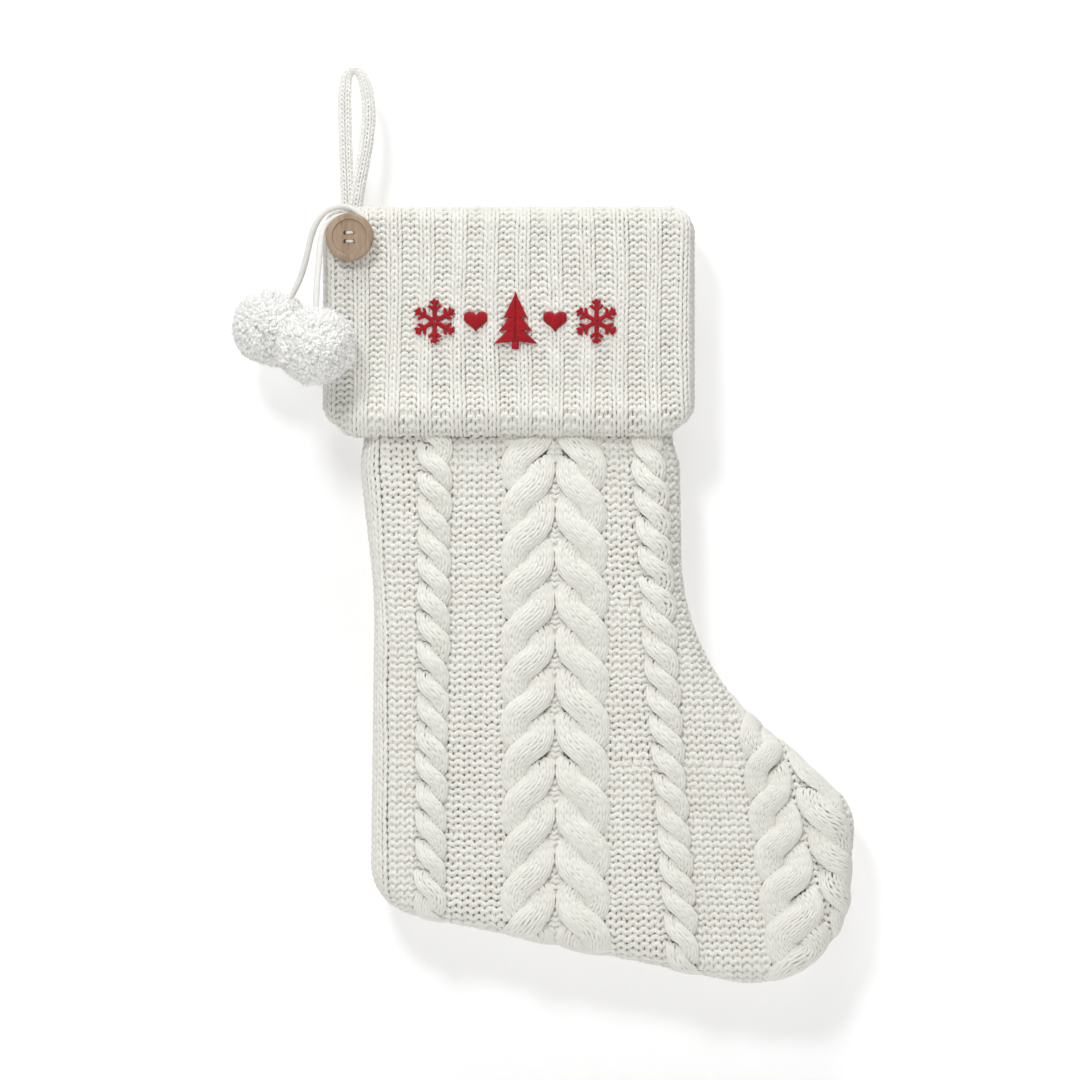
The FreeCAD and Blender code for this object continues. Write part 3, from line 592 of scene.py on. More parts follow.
def leg_warp(x, z):
    """Hand-made unevenness: rows bow gently, and are drawn towards each crossing of the ropes."""
    p = flat(x, z)
    dz = 0.0011 * wander(p, 0.16, 3) + 0.00022 * wander(p, 0.012, 4)
    dx = 0.0006 * wander(p, 0.10, 5) + 0.00022 * wander(p, 0.010, 6)
    for left, right, turn, pitch, _, phase in CABLES.values():
        beat = TAU * (LEG_YARN_TOP - z) / pitch + 2 * phase
        for edge, sign in ((guide(left, z), -1), (guide(right, z), 1)):
            near = np.exp(-np.abs(x - edge) / 0.0065)
            dz = dz + 0.0009 * near * np.sin(beat + (0 if sign * turn > 0 else math.pi))
            dx = dx - sign * 0.0006 * near * np.cos(beat)
    return dx, dz


def columns_between(z, x0, x1, count, knit, open_left, open_right):
    """Columns of stitches from x0 to x1. Where the outer side is open, the yarn lies level there."""
    columns = []
    for w in range(count):
        at_left = 0 if w == 0 and open_left else knit
        at_right = 0 if w == count - 1 and open_right else knit
        edges = (x0 + (x1 - x0) * k / count for k in (w, w + 1))
        columns.append(np.stack(np.broadcast_arrays(*edges, z, knit, at_left, at_right)))
    return columns


def ground_stitches():
    """Every stitch of the leg outside the cables."""
    z = LEG_YARN_TOP - COURSE * (np.arange(LEG_ROWS) + 0.5)
    part = np.searchsorted(-INCREASES, -z)
    down = leg_path[: int(np.argmax(leg_path[:, 1] < HEEL_TOP))]
    left = np.interp(-z, -down[:, 1], down[:, 0]) - (leg.reach - leg.rim)
    columns = columns_between(z, left, guide("edge", z), 4, 1, False, True)
    for a, past_a, b, past_b, counts in SECTIONS:
        for k, count in enumerate(counts):
            zk = z[part == k]
            x0, x1 = guide(a, zk) + past_a, guide(b, zk) + past_b
            columns += columns_between(zk, x0, x1, count, -1, True, True)
    toe = guide("toe_right", z)
    columns += columns_between(z, toe, toe + 0.0300, 5, -1, True, False)
    return np.hstack(columns)


def under_cuff(z):
    """How far the cuff's turned edge presses the leg in, just below and behind it."""
    return -0.0044 * smooth((z + 0.2470) / 0.022)


def ground_rise(x, z):
    """The knit columns at the leg's left edge stand a little prouder than the purl ground."""
    return 0.0009 * smooth((guide("edge", z) - x) / 0.002) + under_cuff(z)


def rope_strands(left, right, turn, pitch, wales, phase):
    """Both strands of a cable: each is its own little strip of knitting that crosses over the other."""
    t = STITCH
    lift, yarn_radius, full_width, flattening = 0.00092, 0.00124, 0.0031, 0.80 * 0.70 / 0.85
    row = np.repeat(np.arange(LEG_ROWS), wales)[:, None] + 0.5 + REACH * np.cos(t)
    wale = np.tile(np.arange(wales), LEG_ROWS)[:, None]
    across = (wale + t / TAU + 0.20 * np.sin(2 * t)) / wales - 0.5
    theta = across * 2 * 1.22

    def middle(row, strand):
        """The strand's middle line: X, Z, how far it is in front (-1..1), and its reach sideways."""
        z = LEG_YARN_TOP - COURSE * row
        x0, x1 = guide(left, z), guide(right, z)
        a = math.pi * (LEG_YARN_TOP - z) / pitch + strand * math.pi + phase
        a = a - 0.16 * np.sin(2 * a)
        reach = (x1 - x0) / 4
        return (x0 + x1) / 2 - turn * reach * 0.96 * np.cos(a), z, np.sin(a), reach

    groups = []
    for strand in range(2):
        x, z, front, reach = middle(row, strand)
        (xa, za), (xb, zb) = (middle(row + step, strand)[:2] for step in (-0.2, 0.2))
        along = unit(np.stack([xb - xa, zb - za], -1))
        aside = np.stack([-along[..., 1], along[..., 0]], -1)
        aside = aside * np.sign(aside[..., :1])
        half_width = reach * 0.98
        bulk = 0.5 * (1 + front)
        px = x + aside[..., 0] * half_width * np.sin(theta)
        pz = z + aside[..., 1] * half_width * np.sin(theta)
        height = 0.0024 + 0.0052 * bulk + flattening * half_width * (np.cos(theta) - 1)
        height = height - lift * np.cos(2 * t) * np.cos(theta * 0.7)
        height = height * (0.25 + 0.75 * smooth((-0.2170 - pz) / 0.022))
        over = leg.nearest(flat(px, pz))[0] + leg.rim
        height = height * (1 - 0.65 * smooth(over / 0.018)) + under_cuff(pz)
        mid = STEPS // 2
        keep = (bulk[:, mid + 1] > 0.04) & leg.covers(px[:, mid], pz[:, mid], 0.001)
        px, pz, height = px[keep], pz[keep], height[keep]
        p = flat(px, pz)
        px = px + 0.0005 * wander(p, 0.03, 21)
        pz = pz + 0.0004 * wander(p, 0.03, 22)
        place, normal = leg.place(px, pz, height)
        n = len(place)
        crowd = np.clip(1.84 * reach[keep] / wales / full_width, 0.62, 1.0)[:, 1:-1]
        groups.append(tubes(place, normal, varied(yarn_radius * crowd, n, 0.06), rng.uniform(0, 1, n)))
    return groups


def pillow_sheet(name, pillow, box, height, material, mirror, step=0.003):
    """A smooth sheet over the whole pillow, down to its edges. height gives its lift at a flat x and z."""
    x0, x1, z0, z1 = box
    gx, gz = np.meshgrid(np.arange(x0, x1 + step, step), np.arange(z0, z1 + step, step), indexing="ij")
    inside = pillow.covers(gx, gz)
    i, j = np.nonzero(inside[:-1, :-1] | inside[1:, :-1] | inside[:-1, 1:] | inside[1:, 1:])
    place, _ = pillow.place(gx, gz, height(gx, gz))
    used, faces = np.unique(grid_faces(i, j, gx.shape[1]), return_inverse=True)
    return new_mesh(
        name, place.reshape(-1, 3)[used], faces.reshape(-1, 4), material, "root", mirror=mirror
    )


def both_sides(part, pillow, box, height, material, groups):
    """Front and back of a knitted part: its stitches over a ground sheet coloured as painted shade, the back
    mirrored.
    """
    made = {}
    for side, mirror in (("front", False), ("back", True)):
        pieces = [
            yarn_piece(f"{part}_{side}_{name}", parts, material, mirror=mirror)
            for name, parts in groups.items()
        ]
        # The ground sheet's darker, warmer colour is painted shade where the gaps between stitches show it.
        sheet = pillow_sheet(f"{part}_{side}_painted_shade_ground", pillow, box, height, GAP_SHADE_GROUND, mirror)
        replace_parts(sheet, f"{part}_{side}_panel")
        made[side] = (sheet, pieces)
    return made


def build_leg():
    stitches = on_cloth(leg, ground_stitches(), -0.0022)
    course = COURSE * (1 + 0.04 * rng.normal(size=stitches.shape[1]).clip(-2, 2))
    edge, upper = stitches[3] > 0, stitches[2] > FOOT_TOP
    kinds = (
        ("edge_wales", edge, EDGE_STYLE),
        ("purl_upper", upper & ~edge, PURL_STYLE),
        ("purl_foot", ~upper & ~edge, PURL_STYLE),
    )
    groups = knit_groups(leg, stitches, course, ground_rise, leg_warp, kinds)
    groups.update({name: rope_strands(*cable) for name, cable in CABLES.items()})

    def ground_height(x, z):
        return -0.0021 + under_cuff(z) * smooth((-0.1950 - z) / 0.010)

    return both_sides("leg", leg, (-0.030, 0.345, -0.610, -0.0925), ground_height, KNIT, groups)


# --- The cuff: two knit wales and two purl wales, turn about

RIB = 0.02015
RIB_FIRST = 0.0056
KNIT_WALE = 0.0047
MOTIF_X, MOTIF_Z = 0.1015, -0.1550
MOTIF_HALF_WIDE, MOTIF_HALF_HIGH = 0.072, 0.026
CUFF_CORNERS = (
    (CUFF_LEFT, CUFF_TOP), (CUFF_LEFT, CUFF_BOTTOM), (CUFF_RIGHT, CUFF_BOTTOM), (CUFF_RIGHT, CUFF_TOP)
)
cuff_path = rounded_path([(corner, CUFF_CORNER) for corner in CUFF_CORNERS], True)
cuff = Pillow(cuff_path, True, CUFF_HALF_DEPTH, CUFF_RIM, (MOUTH_LEFT, MOUTH_RIGHT), 0.0150)


def cuff_rise(x, z):
    """The ribs' wave, pressed flat under the embroidery, and the loose lower edge standing out."""
    wave = np.cos(math.pi * (((x - RIB_FIRST) / RIB + 0.5) % 1.0 * 2 - 1))
    wave = wave * smooth((CUFF_TOP + 0.004 - z) / 0.016) * smooth((z - CUFF_BOTTOM + 0.004) / 0.012)
    beside, above = MOTIF_HALF_WIDE - np.abs(x - MOTIF_X), MOTIF_HALF_HIGH - np.abs(z - MOTIF_Z)
    wave = wave * (1 - 0.8 * smooth(beside / 0.010) * smooth(above / 0.010))
    inner = smooth((x - CUFF_LEFT - 0.002) / 0.016) * smooth((CUFF_RIGHT - 0.002 - x) / 0.016)
    return 0.0013 * wave + 0.0060 * inner * smooth((CUFF_BOTTOM + 0.026 - z) / 0.026)


def cuff_warp(x, z):
    p = flat(x, z)
    dx = 0.0009 * wander(p, 0.11, 31) + 0.0002 * wander(p, 0.010, 32)
    dz = 0.0007 * wander(p, 0.12, 33) + 0.0002 * wander(p, 0.010, 34)
    return dx, dz


def build_cuff():
    centres = RIB_FIRST + RIB * np.arange(-3, 14)
    edges = (centres[:, None] + np.array([-KNIT_WALE, 0, KNIT_WALE, RIB / 2])).ravel()[:-3]
    face = np.tile([1.0, 1.0, -1.0, -1.0], len(centres) - 1)
    at_left = np.where(np.roll(face, 1) == face, face, 0)
    at_right = np.where(np.roll(face, -1) == face, face, 0)
    top = CUFF_TOP + 0.022
    rows = int((top - (CUFF_BOTTOM - 0.012)) / CUFF_COURSE)
    stitches = np.tile(np.stack([edges[:-1], edges[1:], face, face, at_left, at_right]), rows)
    stitches[2] = np.repeat(top - CUFF_COURSE * (np.arange(rows) + 0.5), len(face))
    stitches = on_cloth(cuff, stitches, -0.0020)
    kinds = (
        ("knit_ribs", stitches[3] > 0, CUFF_KNIT_STYLE),
        ("purl_ribs", stitches[3] < 0, CUFF_PURL_STYLE),
    )
    groups = knit_groups(cuff, stitches, CUFF_COURSE, cuff_rise, cuff_warp, kinds)
    box = (-0.040, 0.235, -0.242, -0.060)
    return both_sides("cuff", cuff, box, lambda x, z: cuff_rise(x, z) - 0.0020, CUFF_KNIT, groups)


# --- Seams, hem, lining


def path_at(path, count):
    """count points evenly along a path, with whatever stands beside its coordinates, and its length."""
    run = np.concatenate([[0], np.cumsum(np.linalg.norm(np.diff(path, axis=0), axis=1))])
    s = np.linspace(0, run[-1], count)
    return np.stack([np.interp(s, run, column) for column in path.T], -1), run[-1]


def overcast(
    name, path, normals, material, node, sink, pitch=0.0046, out=0.0012, wide=0.0026, radius=0.00085
):
    """A seam sewn over and over: one long yarn that winds along the edge where two cloths meet."""
    turns = int(np.linalg.norm(np.diff(path, axis=0), axis=1).sum() / pitch)
    angle = np.linspace(0, TAU * turns, turns * 12)
    points, _ = path_at(np.hstack([path, normals]), len(angle))
    x, z, nx, nz = points.T
    off = out * np.cos(angle) - sink
    line = np.stack([x + nx * off, wide * np.sin(angle), z + nz * off], -1)
    verts, faces, twist, _ = tubes(line[None], np.stack([nx, 0 * nx, nz], -1), radius, 0)
    tint = 0.5 + 0.3 * np.sin(np.arange(len(verts)) * 0.003)
    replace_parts(yarn_piece(name, [(verts, faces, twist, tint)], material), node)


def build_seams():
    keep = leg.path[:, 1] < -0.195
    edge, out = leg.path[keep], leg.normals[keep]
    edge = edge + out * under_cuff(edge[:, 1])[:, None]
    overcast("leg_side_seam_yarn", edge, out, KNIT, "leg_side_seam", 0.0006)
    for name, sign in (("cuff_left_seam", -1), ("cuff_right_seam", 1)):
        side = cuff.normals[:, 0] * sign > 0.2
        pts, nor = cuff.path[side], cuff.normals[side]
        order = np.argsort(-pts[:, 1])
        overcast(f"{name}_yarn", pts[order], nor[order], CUFF_KNIT, name, 0.0010)


def build_hem():
    """The cuff's lower edge turned up inside: short rows of plain knitting between cuff and leg."""
    wales, rows, depth = 50, 4, 0.0208
    x = np.linspace(CUFF_LEFT + 0.008, CUFF_RIGHT - 0.008, wales + 1)
    purl = -np.ones(wales)
    stitches = np.tile(np.stack([x[:-1], x[1:], purl, purl, purl, purl]), rows)
    stitches[2] = np.repeat(CUFF_BOTTOM + 0.0015 + HEM_COURSE * np.arange(rows), wales)
    px, pz, height = stitch_lines(stitches, HEM_COURSE, 0.0004)
    parts = []
    for side in (1, -1):
        line = np.stack([px, (height - depth) * side, pz], -1)
        parts.append(tubes(line, (0.0, -side, 0.0), 0.00075, rng.uniform(0, 1, len(line))))
    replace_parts(yarn_piece("cuff_hem_knit", parts, CUFF_KNIT), "cuff_hem")


def build_lining():
    inner = leg.path - leg.normals * LINING_INSET
    inner = inner[inner[:, 1] < -0.105]
    first, last = (MOUTH_LEFT + 0.0105, LINING_TOP), (MOUTH_RIGHT + 0.0022, LINING_TOP)
    lining = Pillow(np.vstack([first, inner, last]), False, LINING_HALF_DEPTH, LINING_RIM)

    def creases(x, z):
        p = flat(x, z)
        calm = smooth((LINING_TOP - z) / 0.03)
        return (0.0006 * wander(p, 0.06, 41) + 0.0003 * wander(p, 0.02, 42)) * calm

    made = []
    for side, mirror in (("front", False), ("back", True)):
        ob = pillow_sheet(
            f"lining_{side}_cloth", lining, (-0.020, 0.335, -0.600, LINING_TOP), creases, COTTON, mirror,
            0.0035,
        )
        thicken(ob, 0.0008, -1)
        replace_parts(ob, f"lining_{side}_panel")
        made.append(ob)
    overcast(
        "lining_side_seam_thread", lining.path, lining.normals, THREAD, "lining_side_seam",
        0.0001, 0.0030, 0.0006, 0.0011, 0.00028,
    )
    return made


LEG = build_leg()
CUFF = build_cuff()
build_seams()
build_hem()
LINING = build_lining()


# --- Thread stitches: round the mouth, at the loop's foot


def thread_bars(name, node, bars, radius=0.0004, body="root", steps=6):
    """Short bars of thread, each a start, an end, and how it bows away from the cloth it holds."""
    a, b, bow = np.array(bars, float).transpose(1, 0, 2)
    t = np.linspace(-1 / steps, 1 + 1 / steps, steps + 3)[:, None]
    line = a[:, None] * (1 - t) + b[:, None] * t + bow[:, None] * np.sin(math.pi * np.clip(t, -0.2, 1.2))
    up = unit(np.cross(b - a, bow) + 1e-9)[:, None]
    yarns = tubes(line, up, radius, rng.uniform(0, 1, len(line)), caps=True)
    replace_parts(yarn_piece(name, [yarns], THREAD, body), node)


def build_mouth_stitches(half=0.0012, away=0.0118):
    bars = []
    for x in np.linspace(MOUTH_LEFT + 0.008, MOUTH_RIGHT - 0.008, 36):
        for side in (-1, 1):
            y = side * away
            bars.append(((x - half, y, -0.0878), (x + half, y, -0.0925), (0, -side * 0.0007, 0)))
    thread_bars("mouth_whip_stitches", "mouth_stitches", bars)


def build_tack_stitches(half=0.0018):
    lo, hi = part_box("loop_tack_stitches")
    middle = ((lo + hi) / 2).z
    depth = max(abs(lo.y), abs(hi.y)) - 0.0002
    bars = []
    for x in (-0.0012, 0.0040):
        for side in (-1, 1):
            y, bow = side * depth, (0, side * 0.0005, 0)
            for lean in (-half, half):
                bars.append(((x - lean, y, middle - half), (x + lean, y, middle + half), bow))
    thread_bars("loop_cross_stitches", "loop_tack_stitches", bars, 0.00035)


build_mouth_stitches()
build_tack_stitches()


# --- The hanging loop: a knitted tape, doubled over


def spline(points, count):
    """A smooth line through the points."""
    p = np.asarray(points, float)
    s = np.concatenate([[0], np.cumsum(np.linalg.norm(np.diff(p, axis=0), axis=1) ** 0.5)])
    u = np.linspace(0, s[-1], count)
    slope = np.gradient(p, s, axis=0, edge_order=2)
    k = np.clip(np.searchsorted(s, u, side="right") - 1, 0, len(p) - 2)
    h = (s[k + 1] - s[k])[:, None]
    t = (u - s[k])[:, None] / h
    return (
        (2 * t**3 - 3 * t**2 + 1) * p[k] + (t**3 - 2 * t**2 + t) * h * slope[k]
        + (3 * t**2 - 2 * t**3) * p[k + 1] + (t**3 - t**2) * h * slope[k + 1]
    )


LOOP_LINE = DMM * np.array([
    (-6, 0, -1100), (-16, 3, -1000), (-30, 5, -880), (-40, 6, -680), (-47, 5, -480), (-53, 3, -260),
    (-52, 1, -100), (-34, 0, 8), (6, 0, 40), (48, 0, 4), (83, -1, -95), (96, -3, -240), (86, -6, -400),
    (62, -10, -540), (36, -14, -680), (14, -20, -840), (16, -12, -1000), (26, -6, -1100),
])
LOOP_WALES, LOOP_COURSE = 6, 0.0028
LOOP_HALF_WIDE, LOOP_HALF_DEEP = 0.0031, 0.0017


def build_loop():
    line, run = path_at(spline(LOOP_LINE, 400), 3000)
    tangent = unit(np.gradient(line, axis=0))
    side = unit(np.cross(tangent, (0.0, -1.0, 0.0)))
    front = unit(np.cross(side, tangent))
    rows = int(run / LOOP_COURSE) - 1
    row = np.repeat(np.arange(rows), LOOP_WALES)[:, None] + 1
    wale = np.tile(np.arange(LOOP_WALES), rows)[:, None]
    t = STITCH
    along = np.clip((row - REACH * np.cos(t)) * LOOP_COURSE / run, 0.0005, 0.9995)
    at = along * (len(line) - 1)
    k = at.astype(int)
    f = (at - k)[..., None]
    middle, across, outward = (v[k] * (1 - f) + v[k + 1] * f for v in (line, side, front))
    a = (wale + t / TAU + 0.17 * np.sin(2 * t)) / LOOP_WALES * TAU
    cos, sin = np.cos(a)[..., None], np.sin(a)[..., None]
    push = -0.00062 * np.cos(2 * t)[:, None]
    # The tape is drawn in where it turns over at the top.
    squeeze = (1 - 0.40 * np.exp(-(((along - 0.5) * run / 0.010) ** 2)))[..., None]
    place = middle + across * (LOOP_HALF_WIDE * squeeze + push) * cos
    place = place + outward * (LOOP_HALF_DEEP + push) * sin
    normal = unit(across * cos * LOOP_HALF_DEEP + outward * sin * LOOP_HALF_WIDE)
    n = len(place)
    yarns = tubes(place, normal, varied(0.00074, n, 0.05), rng.uniform(0, 1, n))
    ring = np.linspace(0, TAU, 12, endpoint=False)[:, None]
    core = side[::25, None] * np.cos(ring) * LOOP_HALF_WIDE * 0.58 + line[::25, None]
    core = core + front[::25, None] * np.sin(ring) * LOOP_HALF_DEEP * 0.80
    ob = yarn_piece("hanging_loop_knit", [yarns, plain_rings(core, 0.4, flip=True)], LOOP_KNIT, body=None)
    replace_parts(ob, "hanging_loop", "loop_sewn_ends")
    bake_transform(ob)


build_loop()


# --- Button and its thread

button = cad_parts["button"]
button.data.materials.clear()
button.data.materials.append(WOOD)
bevel = button.modifiers.new("edge", "BEVEL")
configure(bevel, width=0.0002, segments=2, limit_method="ANGLE", angle_limit=math.radians(35))

BUTTON_CENTRE = np.array([-0.0003, -0.0318, -0.1034])
BUTTON_TURN = math.radians(-12)
BUTTON_OUT = np.array([math.sin(BUTTON_TURN), -math.cos(BUTTON_TURN), 0.0])
BUTTON_SIDE = np.array([math.cos(BUTTON_TURN), math.sin(BUTTON_TURN), 0.0])
BUTTON_UP = np.array([0.0, 0.0, 1.0])


def build_button_thread(face=0.0019, half=0.0024):
    bars = []
    for row in (-0.0027, 0.0027):
        for strand in (-0.00036, 0.00036):
            middle = BUTTON_CENTRE + BUTTON_OUT * face + BUTTON_UP * (row + strand)
            bars.append((middle - BUTTON_SIDE * half, middle + BUTTON_SIDE * half, BUTTON_OUT * 0.0019))
    thread_bars("button_thread_bars", "button_thread", bars, 0.00038, "button", 10)
    shank = coil(BUTTON_CENTRE, BUTTON_OUT, BUTTON_SIDE, BUTTON_UP, -0.0002, -0.0042, 9, 14, 0.00042, 0.5)
    yarn_piece("button_shank_wraps", [shank], THREAD, "button")


build_button_thread()


# --- Pompoms on their cords

LEFT_CORD = DMM * np.array([
    (70, -279, -916), (26, -268, -864), (-38, -258, -837), (-110, -252, -841), (-175, -244, -876),
    (-221, -232, -939), (-255, -216, -1028), (-280, -196, -1140), (-309, -172, -1244), (-346, -152, -1330),
    (-390, -138, -1404),
])
RIGHT_CORD = DMM * np.array([
    (-24, -270, -894), (-90, -274, -902), (-145, -285, -939), (-179, -305, -998), (-191, -332, -1087),
    (-196, -368, -1188), (-204, -406, -1294), (-208, -446, -1402), (-209, -469, -1499),
])
CORD_DIAMETER = 0.0039


def build_cord(name, route, body):
    curve = bpy.data.curves.new(name, "CURVE")
    configure(curve, dimensions="3D", bevel_depth=CORD_DIAMETER / 2, bevel_resolution=6, use_fill_caps=True)
    line = curve.splines.new("NURBS")
    line.points.add(len(route) - 1)
    for point, at in zip(line.points, route):
        point.co = (*at, 1)
    configure(line, order_u=3, use_endpoint_u=True, resolution_u=12)
    curve.materials.append(CORD_MATERIAL)
    return place_object(name, curve, body)


def directions(theta, phi):
    """Directions at the angle theta round a ball and phi down from its top."""
    sin, cos = np.sin(phi), np.cos(phi)
    return np.stack(np.broadcast_arrays(sin * np.cos(theta), sin * np.sin(theta), cos), -1)


def lumps(d, seed):
    """How the ball's size changes from side to side, over directions d."""
    return 1 + 0.045 * wander(d, 0.9, seed + 1) + 0.035 * wander(d, 0.38, seed + 2)


# Each yarn end's profile: how far along, and its width there.
TUFT = ((0.0, 0.55), (0.35, 0.8), (0.62, 1.0), (0.80, 1.05), (0.91, 0.88), (0.98, 0.55), (1.0, 0.12))
HAIR = ((0.0, 1.0), (0.4, 1.0), (0.75, 0.8), (1.0, 0.3))


def tufts(centre, reach, count, seed, radius, sides, start, curl, uneven, profile, ball):
    """Cut ends of yarn that stand out from a middle, each a little bent and opened at its tip."""
    k = np.arange(count) + 0.5
    d = directions(math.pi * (1 + 5**0.5) * k, np.arccos(1 - 2 * k / count))
    d = unit(d + np.random.default_rng(seed).normal(scale=1.2 / math.sqrt(count), size=d.shape))
    r = np.random.default_rng(seed)
    where, width = np.array(profile).T
    aside = unit(np.cross(d, r.normal(size=d.shape)))
    length = reach * lumps(d, ball) * (1 + uneven * r.normal(size=count).clip(-2, 1.4))
    t = start + (1 - start) * where
    t = np.concatenate([[2 * t[0] - t[1]], t, [2 * t[-1] - t[-2]]])[:, None]
    bend = (t - start).clip(0) ** 2
    line = np.asarray(centre) + d[:, None] * t * length[:, None, None]
    for direction in (aside, np.cross(d, aside)):
        line = line + direction[:, None] * bend * (curl * r.normal(size=count))[:, None, None]
    width = radius * width * r.uniform(0.8, 1.2, (count, 1))
    return tubes(line, aside[:, None], width, r.uniform(0, 1, count), sides)


def pompom_core(centre, reach, seed):
    """The dense middle, where the yarns are tied together."""
    around, up = 48, 24
    d = directions(np.arange(around) * TAU / around, (np.arange(up)[:, None] + 0.5) * math.pi / up)
    return plain_rings(np.asarray(centre) + d * (reach * lumps(d, seed))[..., None], 0.8)


def build_pompom(side, centre, reach, seed):
    core = pompom_core(centre, reach * 0.915, seed)
    ends = tufts(centre, reach * 0.985, 2500, seed, 0.00134, 6, 0.66, 0.012, 0.022, TUFT, seed)
    hairs = tufts(centre, reach * 1.02, 4200, seed + 50, 0.00017, 3, 0.88, 0.05, 0.035, HAIR, seed)
    made = [
        yarn_piece(f"{side}_pompom_{name}", parts, POMPOM, f"{side}_pompom")
        for name, parts in (("tufts", [core, ends]), ("fluff", [hairs]))
    ]
    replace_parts(made[0], f"{side}_pompom")
    return made


def build_tie(side, route):
    """The knot at the pompom's neck: a few turns of yarn round the cord's end."""
    along = unit(np.array(route[-1]) - np.array(route[-2]))
    aside = unit(np.cross(along, [0.3, 1, 0.2]))
    lo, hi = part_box(f"{side}_pompom_tie")
    middle = np.array((lo + hi) / 2)
    turns = coil(middle, along, aside, np.cross(along, aside), -0.0012, 0.0012, 4, 16, 0.0006, 0.3)
    ob = yarn_piece(f"{side}_pompom_knot", [turns], KNOT, f"{side}_pompom")
    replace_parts(ob, f"{side}_pompom_tie")
    return ob


POMPOMS = {
    "left": ((-0.0508, -0.0120, -0.1582), 0.0233, LEFT_CORD, 71),
    "right": ((-0.0210, -0.0515, -0.1712), 0.0238, RIGHT_CORD, 72),
}
for side, (centre, reach, route, seed) in POMPOMS.items():
    cord_piece = build_cord(f"{side}_cord", route, f"{side}_pompom")
    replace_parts(cord_piece, f"{side}_pompom_cord")
    pieces = build_pompom(side, centre, reach, seed)
    knot = build_tie(side, route)


# --- Embroidery: satin stitch, thread laid beside thread

SPACING = 0.00055


def satin_piece(name, bars):
    """bars: (x0, z0, x1, z1) of each thread. The threads arch over the ribs beneath."""
    x0, z0, x1, z1 = np.array(bars, float).T[..., None]
    steps = 6
    t = np.linspace(-1 / steps, 1 + 1 / steps, steps + 3)
    x, z = x0 * (1 - t) + x1 * t, z0 * (1 - t) + z1 * t
    arch = np.minimum(0.0012, np.hypot(x1 - x0, z1 - z0) * 0.16) * (1 - (2 * np.clip(t, 0, 1) - 1) ** 4)
    arch = arch - 0.0007 * (np.clip(np.abs(2 * t - 1) - 0.9, 0, 1) * 10)
    n = len(bars)
    z = z + 0.00006 * rng.normal(size=(n, 1))
    line = np.stack([x, -(CUFF_HALF_DEPTH + 0.0029 + arch), z], -1)
    yarns = tubes(line, (0.0, -1.0, 0.0), 0.00034, rng.uniform(0, 1, n), caps=True)
    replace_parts(yarn_piece(f"{name}_satin", [yarns], RED), f"embroidery_{name}")


def strip(x0, z0, x1, z1, width0, width1):
    """A satin bar along a line: threads across it, its width changing from end to end."""
    d = np.array([x1 - x0, z1 - z0])
    length = np.hypot(*d)
    d = d / length
    n = np.array([-d[1], d[0]])
    rows = []
    for s in np.arange(0, length, SPACING):
        half = n * (width0 + (width1 - width0) * s / length) / 2 + d * 0.0004
        middle = np.array([x0, z0]) + d * s
        rows.append((*(middle - half), *(middle + half)))
    return rows


def snowflake_bars(cx, cz, reach=0.0135):
    rows = []
    for k in range(6):
        a = math.radians(90 + 60 * k)
        ux, uz = math.cos(a), math.sin(a)
        rows += strip(cx + ux * 0.0012, cz + uz * 0.0012, cx + ux * reach, cz + uz * reach, 0.0024, 0.0019)
        for at, size in ((0.52, 0.0046), (0.80, 0.0030)):
            bx, bz = cx + ux * reach * at, cz + uz * reach * at
            for lean in (-1, 1):
                b = a + lean * math.radians(55)
                rows += strip(bx, bz, bx + math.cos(b) * size, bz + math.sin(b) * size, 0.0017, 0.0014)
    return rows


def heart_bars(cx, cz):
    t = np.linspace(0, TAU, 400)
    hx = 0.0075 * np.sin(t) ** 3
    hz = (13 * np.cos(t) - 5 * np.cos(2 * t) - 2 * np.cos(3 * t) - np.cos(4 * t)) / 17 * 0.0072 + 0.0008
    rows = []
    for x in np.arange(-0.0071, 0.0072, SPACING):
        zs = hz[np.abs(hx - x) < 0.00025]
        if len(zs) > 1:
            rows.append((cx + x, cz + zs.min(), cx + x, cz + zs.max()))
    return rows


def tree_bars(cx, cz):
    rows = []
    for base, top, width in ((-0.0130, -0.0010, 0.0130), (-0.0055, 0.0070, 0.0102), (0.0025, 0.0170, 0.0074)):
        for z in np.arange(base, top, SPACING):
            w = width * (1 - (z - base) / (top - base) * 0.96)
            rows.append((cx - w, cz + z - 0.0005, cx, cz + z + 0.0010))
            rows.append((cx, cz + z + 0.0010, cx + w, cz + z - 0.0005))
    for x in np.arange(-0.0021, 0.0022, SPACING):
        rows.append((cx + x, cz - 0.0170, cx + x, cz - 0.0125))
    return rows


def build_embroidery():
    for motif, bars, offset in (("snowflake", snowflake_bars, 0.050), ("heart", heart_bars, 0.0245)):
        for side, sign in (("left", -1), ("right", 1)):
            satin_piece(f"{side}_{motif}", bars(MOTIF_X + sign * offset, MOTIF_Z))
    satin_piece("tree", tree_bars(MOTIF_X, MOTIF_Z))


def build_backing(columns=48, rows=16):
    """The stabiliser cloth behind the embroidery."""
    gx, gz = np.meshgrid(np.linspace(0.031, 0.172, columns), np.linspace(-0.177, -0.133, rows), indexing="ij")
    gy = -0.0212 + 0.00012 * wander(flat(gx, gz), 0.02, 51)
    faces = grid_faces(*np.indices((columns - 1, rows - 1)), rows)
    verts = np.stack([gx, gy, gz], -1).reshape(-1, 3)
    backing = new_mesh("embroidery_backing_cloth", verts, faces, COTTON, "root")
    thicken(backing, 0.0004, 0)
    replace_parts(backing, "embroidery_backing")


build_embroidery()
build_backing()


# --- Stage: a pale floor, a plain wall close behind, soft light, and the camera

FLOOR_Z = -0.655
WALL_Y = 0.036


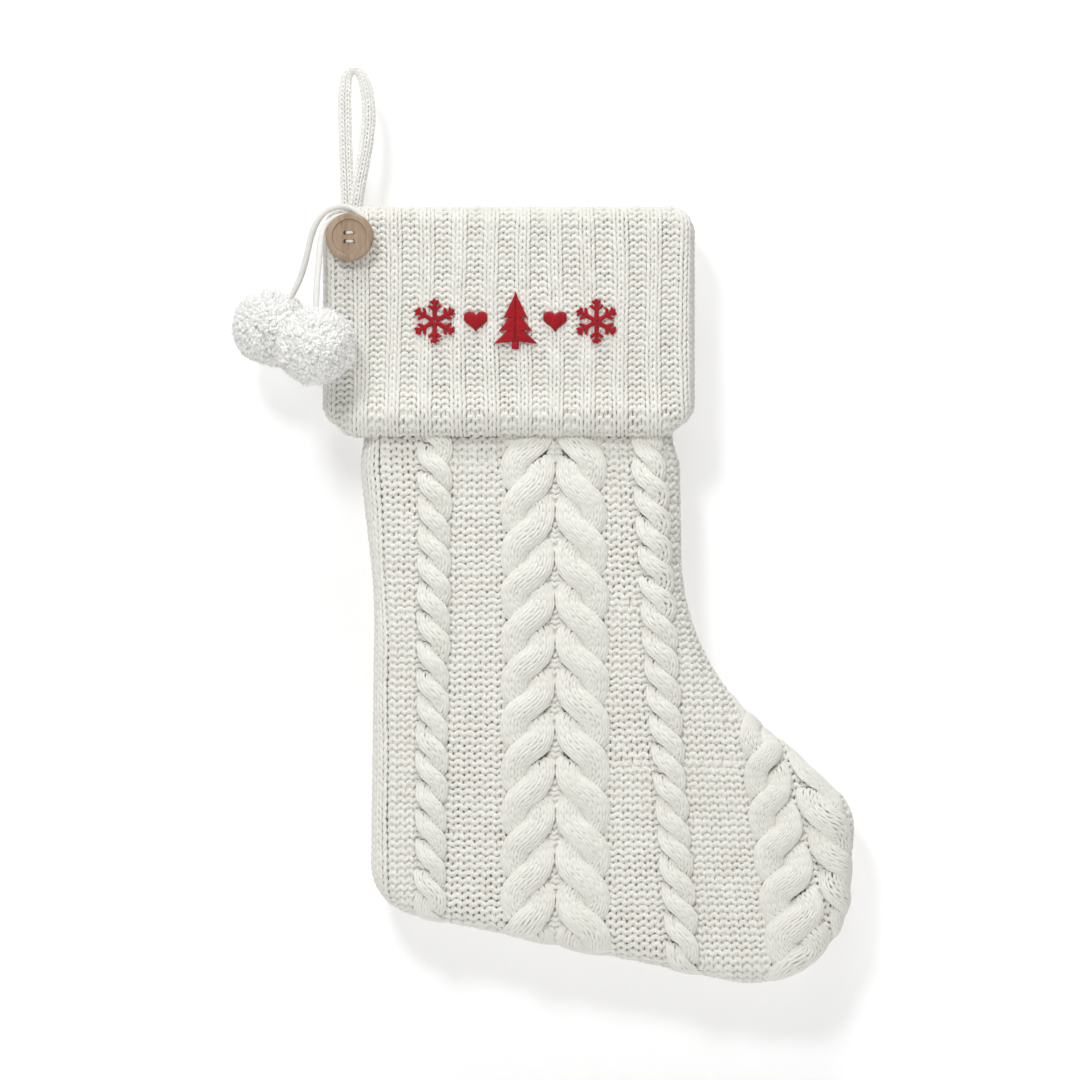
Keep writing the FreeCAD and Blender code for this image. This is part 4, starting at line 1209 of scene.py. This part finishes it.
def stage_material(name, colour, glow):
    m = Nodes(name)
    m.finish((*colour, 1), 0.9, sheen=0.0, specular=0.1)
    m.put(m.shader.inputs["Emission Color"], (1, 1, 1, 1))
    m.put(m.shader.inputs["Emission Strength"], glow)
    return m


def plane(name, corners, material):
    return new_mesh(name, np.array(corners, float), np.array([[0, 1, 2, 3]]), material, None, shade=False)


floor = plane(
    "stage_floor",
    [(-4, -4, FLOOR_Z), (4.5, -4, FLOOR_Z), (4.5, 4, FLOOR_Z), (-4, 4, FLOOR_Z)],
    stage_material("stage_floor", (0.86, 0.86, 0.86), 0.0).mat,
)
# The wall is see-through from behind, so that views of the back aren't blocked.
wall_material = stage_material("stage_wall", (0.92, 0.92, 0.935), 0.24)
mix = wall_material.add(
    "ShaderNodeMixShader", Fac=wall_material.add("ShaderNodeNewGeometry").outputs["Backfacing"]
)
wall_material.put(mix.inputs[1], wall_material.shader.outputs["BSDF"])
wall_material.put(mix.inputs[2], wall_material.add("ShaderNodeBsdfTransparent").outputs[0])
wall_material.put(wall_material.out.inputs["Surface"], mix.outputs[0])
wall = plane(
    "stage_wall",
    [(-1.0, WALL_Y, -0.654), (1.3, WALL_Y, -0.654), (1.3, WALL_Y, 0.60), (-1.0, WALL_Y, 0.60)],
    wall_material.mat,
)
configure(wall, visible_shadow=False, visible_diffuse=False, visible_glossy=False, visible_transmission=False)

MIDDLE = (0.1166, 0.0, -0.2902)


def area_light(name, at, size, power, colour=(1, 1, 1)):
    """A round lamp that faces the stocking's middle."""
    data = bpy.data.lights.new(name, "AREA")
    configure(data, shape="DISK", size=size, energy=power, color=colour)
    ob = place_object(name, data)
    ob.location = at
    ob.rotation_euler = (Vector(MIDDLE) - Vector(at)).to_track_quat("-Z", "Y").to_euler()


area_light("key", (-0.46, -1.66, 0.92), 0.44, 14.0, (0.99, 0.995, 1.0))
area_light("fill", (1.6, -1.6, 0.1), 1.8, 1.6, (0.98, 0.99, 1.0))
area_light("top", (0.05, -0.92, 2.20), 1.2, 28.0, (1.0, 1.0, 0.99))
area_light("back", (0.4, 2.2, 0.9), 1.6, 24.0)

world = bpy.data.worlds.new("world")
world.use_nodes = True
background = world.node_tree.nodes["Background"].inputs
background["Color"].default_value = (1.0, 0.985, 0.955, 1)
background["Strength"].default_value = 0.38
bpy.context.scene.world = world
bpy.context.scene.view_settings.view_transform = "Standard"

CAMERA_DISTANCE = 2.55
FIELD_WIDTH = 0.6696
SENSOR = 36.0
camera_data = bpy.data.cameras.new("camera")
lens = SENSOR * CAMERA_DISTANCE / FIELD_WIDTH
configure(camera_data, sensor_width=SENSOR, lens=lens, clip_start=0.05, clip_end=50.0)
camera = place_object("camera", camera_data)
camera.location = (MIDDLE[0], -0.020 - CAMERA_DISTANCE, MIDDLE[2])
camera.rotation_euler = (math.radians(90), 0, 0)
bpy.context.scene.camera = camera

bpy.context.view_layer.update()
